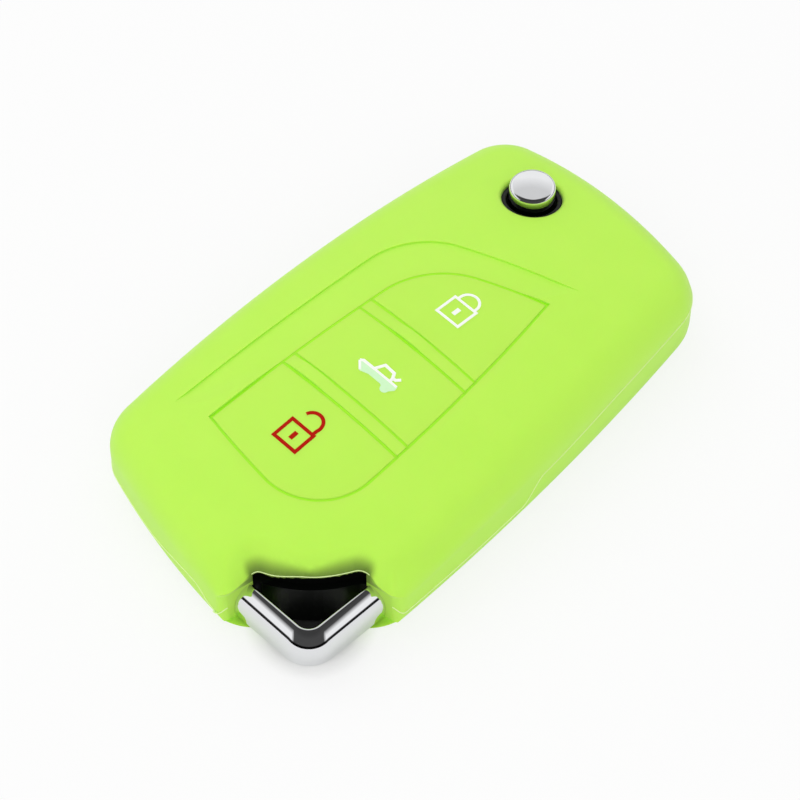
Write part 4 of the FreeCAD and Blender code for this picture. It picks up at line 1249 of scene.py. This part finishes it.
class FOB_OT_symbols(bpy.types.Operator):
    """Prints the padlock and car symbols on the pads"""
    bl_idname = "fob.symbols"
    bl_label = "Pad symbols"

    def execute(self, context):
        sizes = context.scene.fob_cover
        height = sizes.height / MM
        line = sizes.symbol_line / MM
        white, red, pale = [grained(*TRIMS[ink]) for ink in ("white_ink", "red_ink", "pale_ink")]
        for name in PADS:
            skins = [stroke(path, line * width, closed, height, PAD_DROP)
                     for path, closed, width in symbol_lines(name)]
            symbol = mesh_object(name + "_symbol", *join_skins(skins), SOFT_EDGE)
            symbol.data.materials.append(red if name == "unlock" else white)
            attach(symbol, name + "_button")
        patches = [filled(plan, height, PAD_DROP, lift)
                   for plan, lift in zip((CAR_BODY, circle_plan(*CAR_WHEEL)), PATCH_LIFTS)]
        body = mesh_object("trunk_symbol_body", *join_skins(patches), SOFT_EDGE)
        body.data.materials.append(pale)
        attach(body, "trunk_button")
        return {"FINISHED"}


class FOB_OT_bail(bpy.types.Operator):
    """Builds the chrome bail for the key ring"""
    bl_idname = "fob.bail"
    bl_label = "Key ring bail"

    def execute(self, context):
        bail = mesh_object("bail_bar", *skin(bail_rings()), BAIL_EDGE)
        bail.data.materials.append(grained(*TRIMS["bail"]))
        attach(bail, "fob")
        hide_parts("key_ring_bail")
        return {"FINISHED"}


def spring_coil(low, high, radius):
    """Wire of the button's spring: a small circle carried up a helix whose first and last turns lie flat."""
    share = np.linspace(0.0, 1.0, WIRE_POINTS)
    turn = share * SPRING_TURNS * 2 * math.pi
    wire = SPRING_WIRE / 2
    start, stop = SPRING_CLIMB
    climb = smooth_step(0.0, SPRING_END, share) * SPRING_END_RISE
    climb += np.clip((share - start) / (stop - start), 0.0, 1.0) * (1 - 2 * SPRING_END_RISE)
    climb += smooth_step(1 - SPRING_END, 1.0, share) * SPRING_END_RISE
    way = np.column_stack([np.cos(turn), np.sin(turn)])
    path = raised(np.array(PIVOT) + (radius - wire) * way, low + wire + (high - low - SPRING_WIRE) * climb)
    return tube(path, raised(way, 0.0), wire, WIRE_SIDES)


def seated_housing():
    """A copy of the lower housing, its edges merged, with the seats of the bail's arms cut in it."""
    mesh = frame["nodes"]["lower_housing"].data.copy()
    welded = bmesh.new()
    welded.from_mesh(mesh)
    bmesh.ops.remove_doubles(welded, verts=welded.verts, dist=WELD * MM)
    welded.to_mesh(mesh)
    welded.free()
    housing = linked("lower_housing_seated", mesh)
    carve(housing, [seat_block(True), seat_block(False)], HOUSING_EDGE)
    return housing


class FOB_OT_remote(bpy.types.Operator):
    """Gives the remote, its blade and its mechanism their finishes, and builds the bezel and spring of its button"""
    bl_idname = "fob.remote"
    bl_label = "Remote finishes"

    def execute(self, context):
        made = {slot: grained(*values) for slot, values in FINISHES.items()}
        for part in frame["record"]["subparts"]:
            slot = part["material_slot"]
            if slot in made:
                mesh = frame["nodes"][part["node"]].data
                mesh.materials.clear()
                mesh.materials.append(made[slot])
        housing = seated_housing()
        housing.data.materials.clear()
        housing.data.materials.append(made["black_abs"])
        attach(housing, "fob")
        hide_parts("lower_housing")
        rings = hole_rings(BEZEL, context.scene.fob_cover.height / MM)
        ring = mesh_object("button_bezel", *skin(rings, closed=True), BEZEL_EDGE)
        ring.data.materials.append(made["black_abs"])
        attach(ring, "fob")
        low, high = [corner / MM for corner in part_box("release_spring")]
        coil = mesh_object("release_coil", *spring_coil(low[2], high[2], (high[0] - low[0]) / 2), WIRE_EDGE)
        coil.data.materials.append(made["spring_steel"])
        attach(coil, "fob")
        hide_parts("release_spring")
        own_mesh(coil)
        return {"FINISHED"}


def floor_paper():
    """White paper: the camera sees it mostly as plain white, with soft shadows, and painted shade on the paper in the
    key ring's gap.
    """
    material, tree = new_material("white_floor_paper")
    rays = add_node(tree, "ShaderNodeLightPath")
    white = add_node(tree, "ShaderNodeEmission", Strength=1.0)
    place = add_node(tree, "ShaderNodeTexCoord")
    away = add_node(tree, "ShaderNodeVectorMath", [(0, place.outputs["Object"])], operation="DISTANCE")
    away.inputs[1].default_value = [v * MM for v in GAP_SHADE]
    # Near the key ring's gap the camera's white fades out, and the paper's own colour is painted dark there as shade
    clear, tone = [add_node(tree, "ShaderNodeMapRange", [("Value", away.outputs["Value"])], From_Min=start * MM,
                            From_Max=stop * MM, To_Min=dark, To_Max=light)
                   for (start, stop), dark, light in ((GAP_GLOW_ZONE, 0.0, FLOOR_GLOW),
                                                      (GAP_PAINTED_SHADE_ZONE, GAP_PAINTED_SHADE, srgb(FLOOR_COLOUR)[0]))]
    paper = add_node(tree, "ShaderNodeBsdfDiffuse", [("Color", tone.outputs["Result"])])
    share = add_node(tree, "ShaderNodeMath", [(0, rays.outputs["Is Camera Ray"]), (1, clear.outputs["Result"])],
                     operation="MULTIPLY")
    finish_material(tree, add_node(tree, "ShaderNodeMixShader", [
        ("Fac", share.outputs[0]), (1, paper.outputs[0]), (2, white.outputs[0])]))
    return material


def studio_world():
    """White room: even light on matt surfaces, and for mirrors a band of greys by height with a dark card in front."""
    world = bpy.data.worlds.new("studio")
    world.use_nodes = True
    tree = world.node_tree
    tree.nodes.clear()
    rays = add_node(tree, "ShaderNodeLightPath")
    place = add_node(tree, "ShaderNodeTexCoord").outputs["Generated"]
    parts = add_node(tree, "ShaderNodeSeparateXYZ", [("Vector", place)])
    band = add_node(tree, "ShaderNodeValToRGB", [("Fac", parts.outputs["Z"])])
    stops = band.color_ramp.elements
    for position, _ in ROOM_BAND[len(stops):]:
        stops.new(position)
    for element, (position, grey) in zip(stops, ROOM_BAND):
        element.position = position
        element.color = (grey, grey, grey, 1.0)
    sides = []
    for way in (CARD_SIDE, CARD_FRONT):
        turned = add_node(tree, "ShaderNodeVectorMath", [(0, place)], operation="DOT_PRODUCT")
        turned.inputs[1].default_value = way
        sides.append(turned.outputs["Value"])
    aside = add_node(tree, "ShaderNodeMath", [(0, sides[0])], operation="ABSOLUTE")
    gap = add_node(tree, "ShaderNodeMapRange", [("Value", aside.outputs[0])],
                   From_Min=CARD_EDGE[0], From_Max=CARD_EDGE[1], To_Min=1.0, To_Max=0.0)
    facing = add_node(tree, "ShaderNodeMapRange", [("Value", sides[1])],
                      From_Min=CARD_FACING[0], From_Max=CARD_FACING[1])
    dark = add_node(tree, "ShaderNodeMath", [(0, gap.outputs[0]), (1, facing.outputs[0])], operation="MULTIPLY")
    card = add_node(tree, "ShaderNodeMapRange", [("Value", dark.outputs[0])], To_Min=1.0, To_Max=CARD_GREY)
    soft, plain = [add_node(tree, "ShaderNodeBackground", Color=WHITE, Strength=light) for light in (ROOM_LIGHT, 1.0)]
    room = add_node(tree, "ShaderNodeBackground",
                    [("Color", band.outputs["Color"]), ("Strength", card.outputs["Result"])])
    sheen = add_node(tree, "ShaderNodeMixShader",
                     [("Fac", rays.outputs["Is Glossy Ray"]), (1, soft.outputs[0]), (2, room.outputs[0])])
    seen = add_node(tree, "ShaderNodeMixShader",
                    [("Fac", rays.outputs["Is Camera Ray"]), (1, sheen.outputs[0]), (2, plain.outputs[0])])
    add_node(tree, "ShaderNodeOutputWorld", [("Surface", seen.outputs[0])])
    return world


def lamp(name, place, side, power):
    """A square soft box that faces the origin and doesn't show in mirrors."""
    light = bpy.data.lights.new(name, "AREA")
    light.shape = "SQUARE"
    light.size = side
    light.energy = power
    holder = linked(name, light)
    holder.visible_glossy = False
    holder.location = place
    holder.rotation_euler = Vector(place).to_track_quat("Z", "Y").to_euler()


def photo_camera():
    """The camera of the photo, which looks back along its direction from the target."""
    turn = math.radians(CAMERA_AZIMUTH)
    rise = math.radians(CAMERA_RISE)
    back = Vector((math.sin(turn) * math.cos(rise), -math.cos(turn) * math.cos(rise), math.sin(rise)))
    data = bpy.data.cameras.new("photo_camera")
    data.lens = CAMERA_LENS
    data.sensor_width = CAMERA_SENSOR
    data.shift_x, data.shift_y = CAMERA_SHIFT
    data.clip_start = CAMERA_CLIP
    camera = linked("photo_camera", data)
    camera.location = Vector(CAMERA_TARGET) * MM + back * (CAMERA_FAR * MM)
    camera.rotation_euler = back.to_track_quat("Z", "Y").to_euler()
    return camera


class FOB_OT_stage(bpy.types.Operator):
    """Sets the white floor, the soft light and the camera"""
    bl_idname = "fob.stage"
    bl_label = "Studio"

    def execute(self, context):
        scene = context.scene
        sheet = raised(box_plan(-FLOOR_HALF, FLOOR_HALF, -FLOOR_HALF, FLOOR_HALF), -FLOOR_DROP)
        floor = mesh_object("floor", sheet, [[0, 1, 2, 3]], SOFT_EDGE)
        floor.data.materials.append(floor_paper())
        scene.world = studio_world()
        for box in SOFT_BOXES:
            lamp(*box)
        scene.camera = photo_camera()
        scene.view_settings.view_transform = "Standard"
        return {"FINISHED"}


class FOB_PT_panel(bpy.types.Panel):
    """Lists the cover's pieces, sizes and colours"""
    bl_idname = "FOB_PT_panel"
    bl_label = "Fob cover"
    bl_space_type = "VIEW_3D"
    bl_region_type = "UI"
    bl_category = "Fob cover"

    def draw(self, context):
        sizes = context.scene.fob_cover
        for name in FobCoverSizes.__annotations__:
            self.layout.prop(sizes, name)
        for step in STEPS:
            self.layout.operator(step.bl_idname)


STEPS = (FOB_OT_cover, FOB_OT_moulding_line, FOB_OT_pads, FOB_OT_symbols, FOB_OT_bail, FOB_OT_remote,
         FOB_OT_stage)
CLASSES = (FobCoverSizes,) + STEPS + (FOB_PT_panel,)


def register():
    """Registers the classes and the sizes."""
    for item in CLASSES:
        bpy.utils.register_class(item)
    bpy.types.Scene.fob_cover = bpy.props.PointerProperty(type=FobCoverSizes)


def unregister():
    """Removes the sizes and the classes."""
    del bpy.types.Scene.fob_cover
    for item in reversed(CLASSES):
        bpy.utils.unregister_class(item)


def main():
    """Builds every piece in order."""
    register()
    bpy.ops.fob.cover()
    bpy.ops.fob.moulding_line()
    bpy.ops.fob.pads()
    bpy.ops.fob.symbols()
    bpy.ops.fob.bail()
    bpy.ops.fob.remote()
    bpy.ops.fob.stage()
    bpy.context.view_layer.update()


if __name__ == "__main__":
    main()
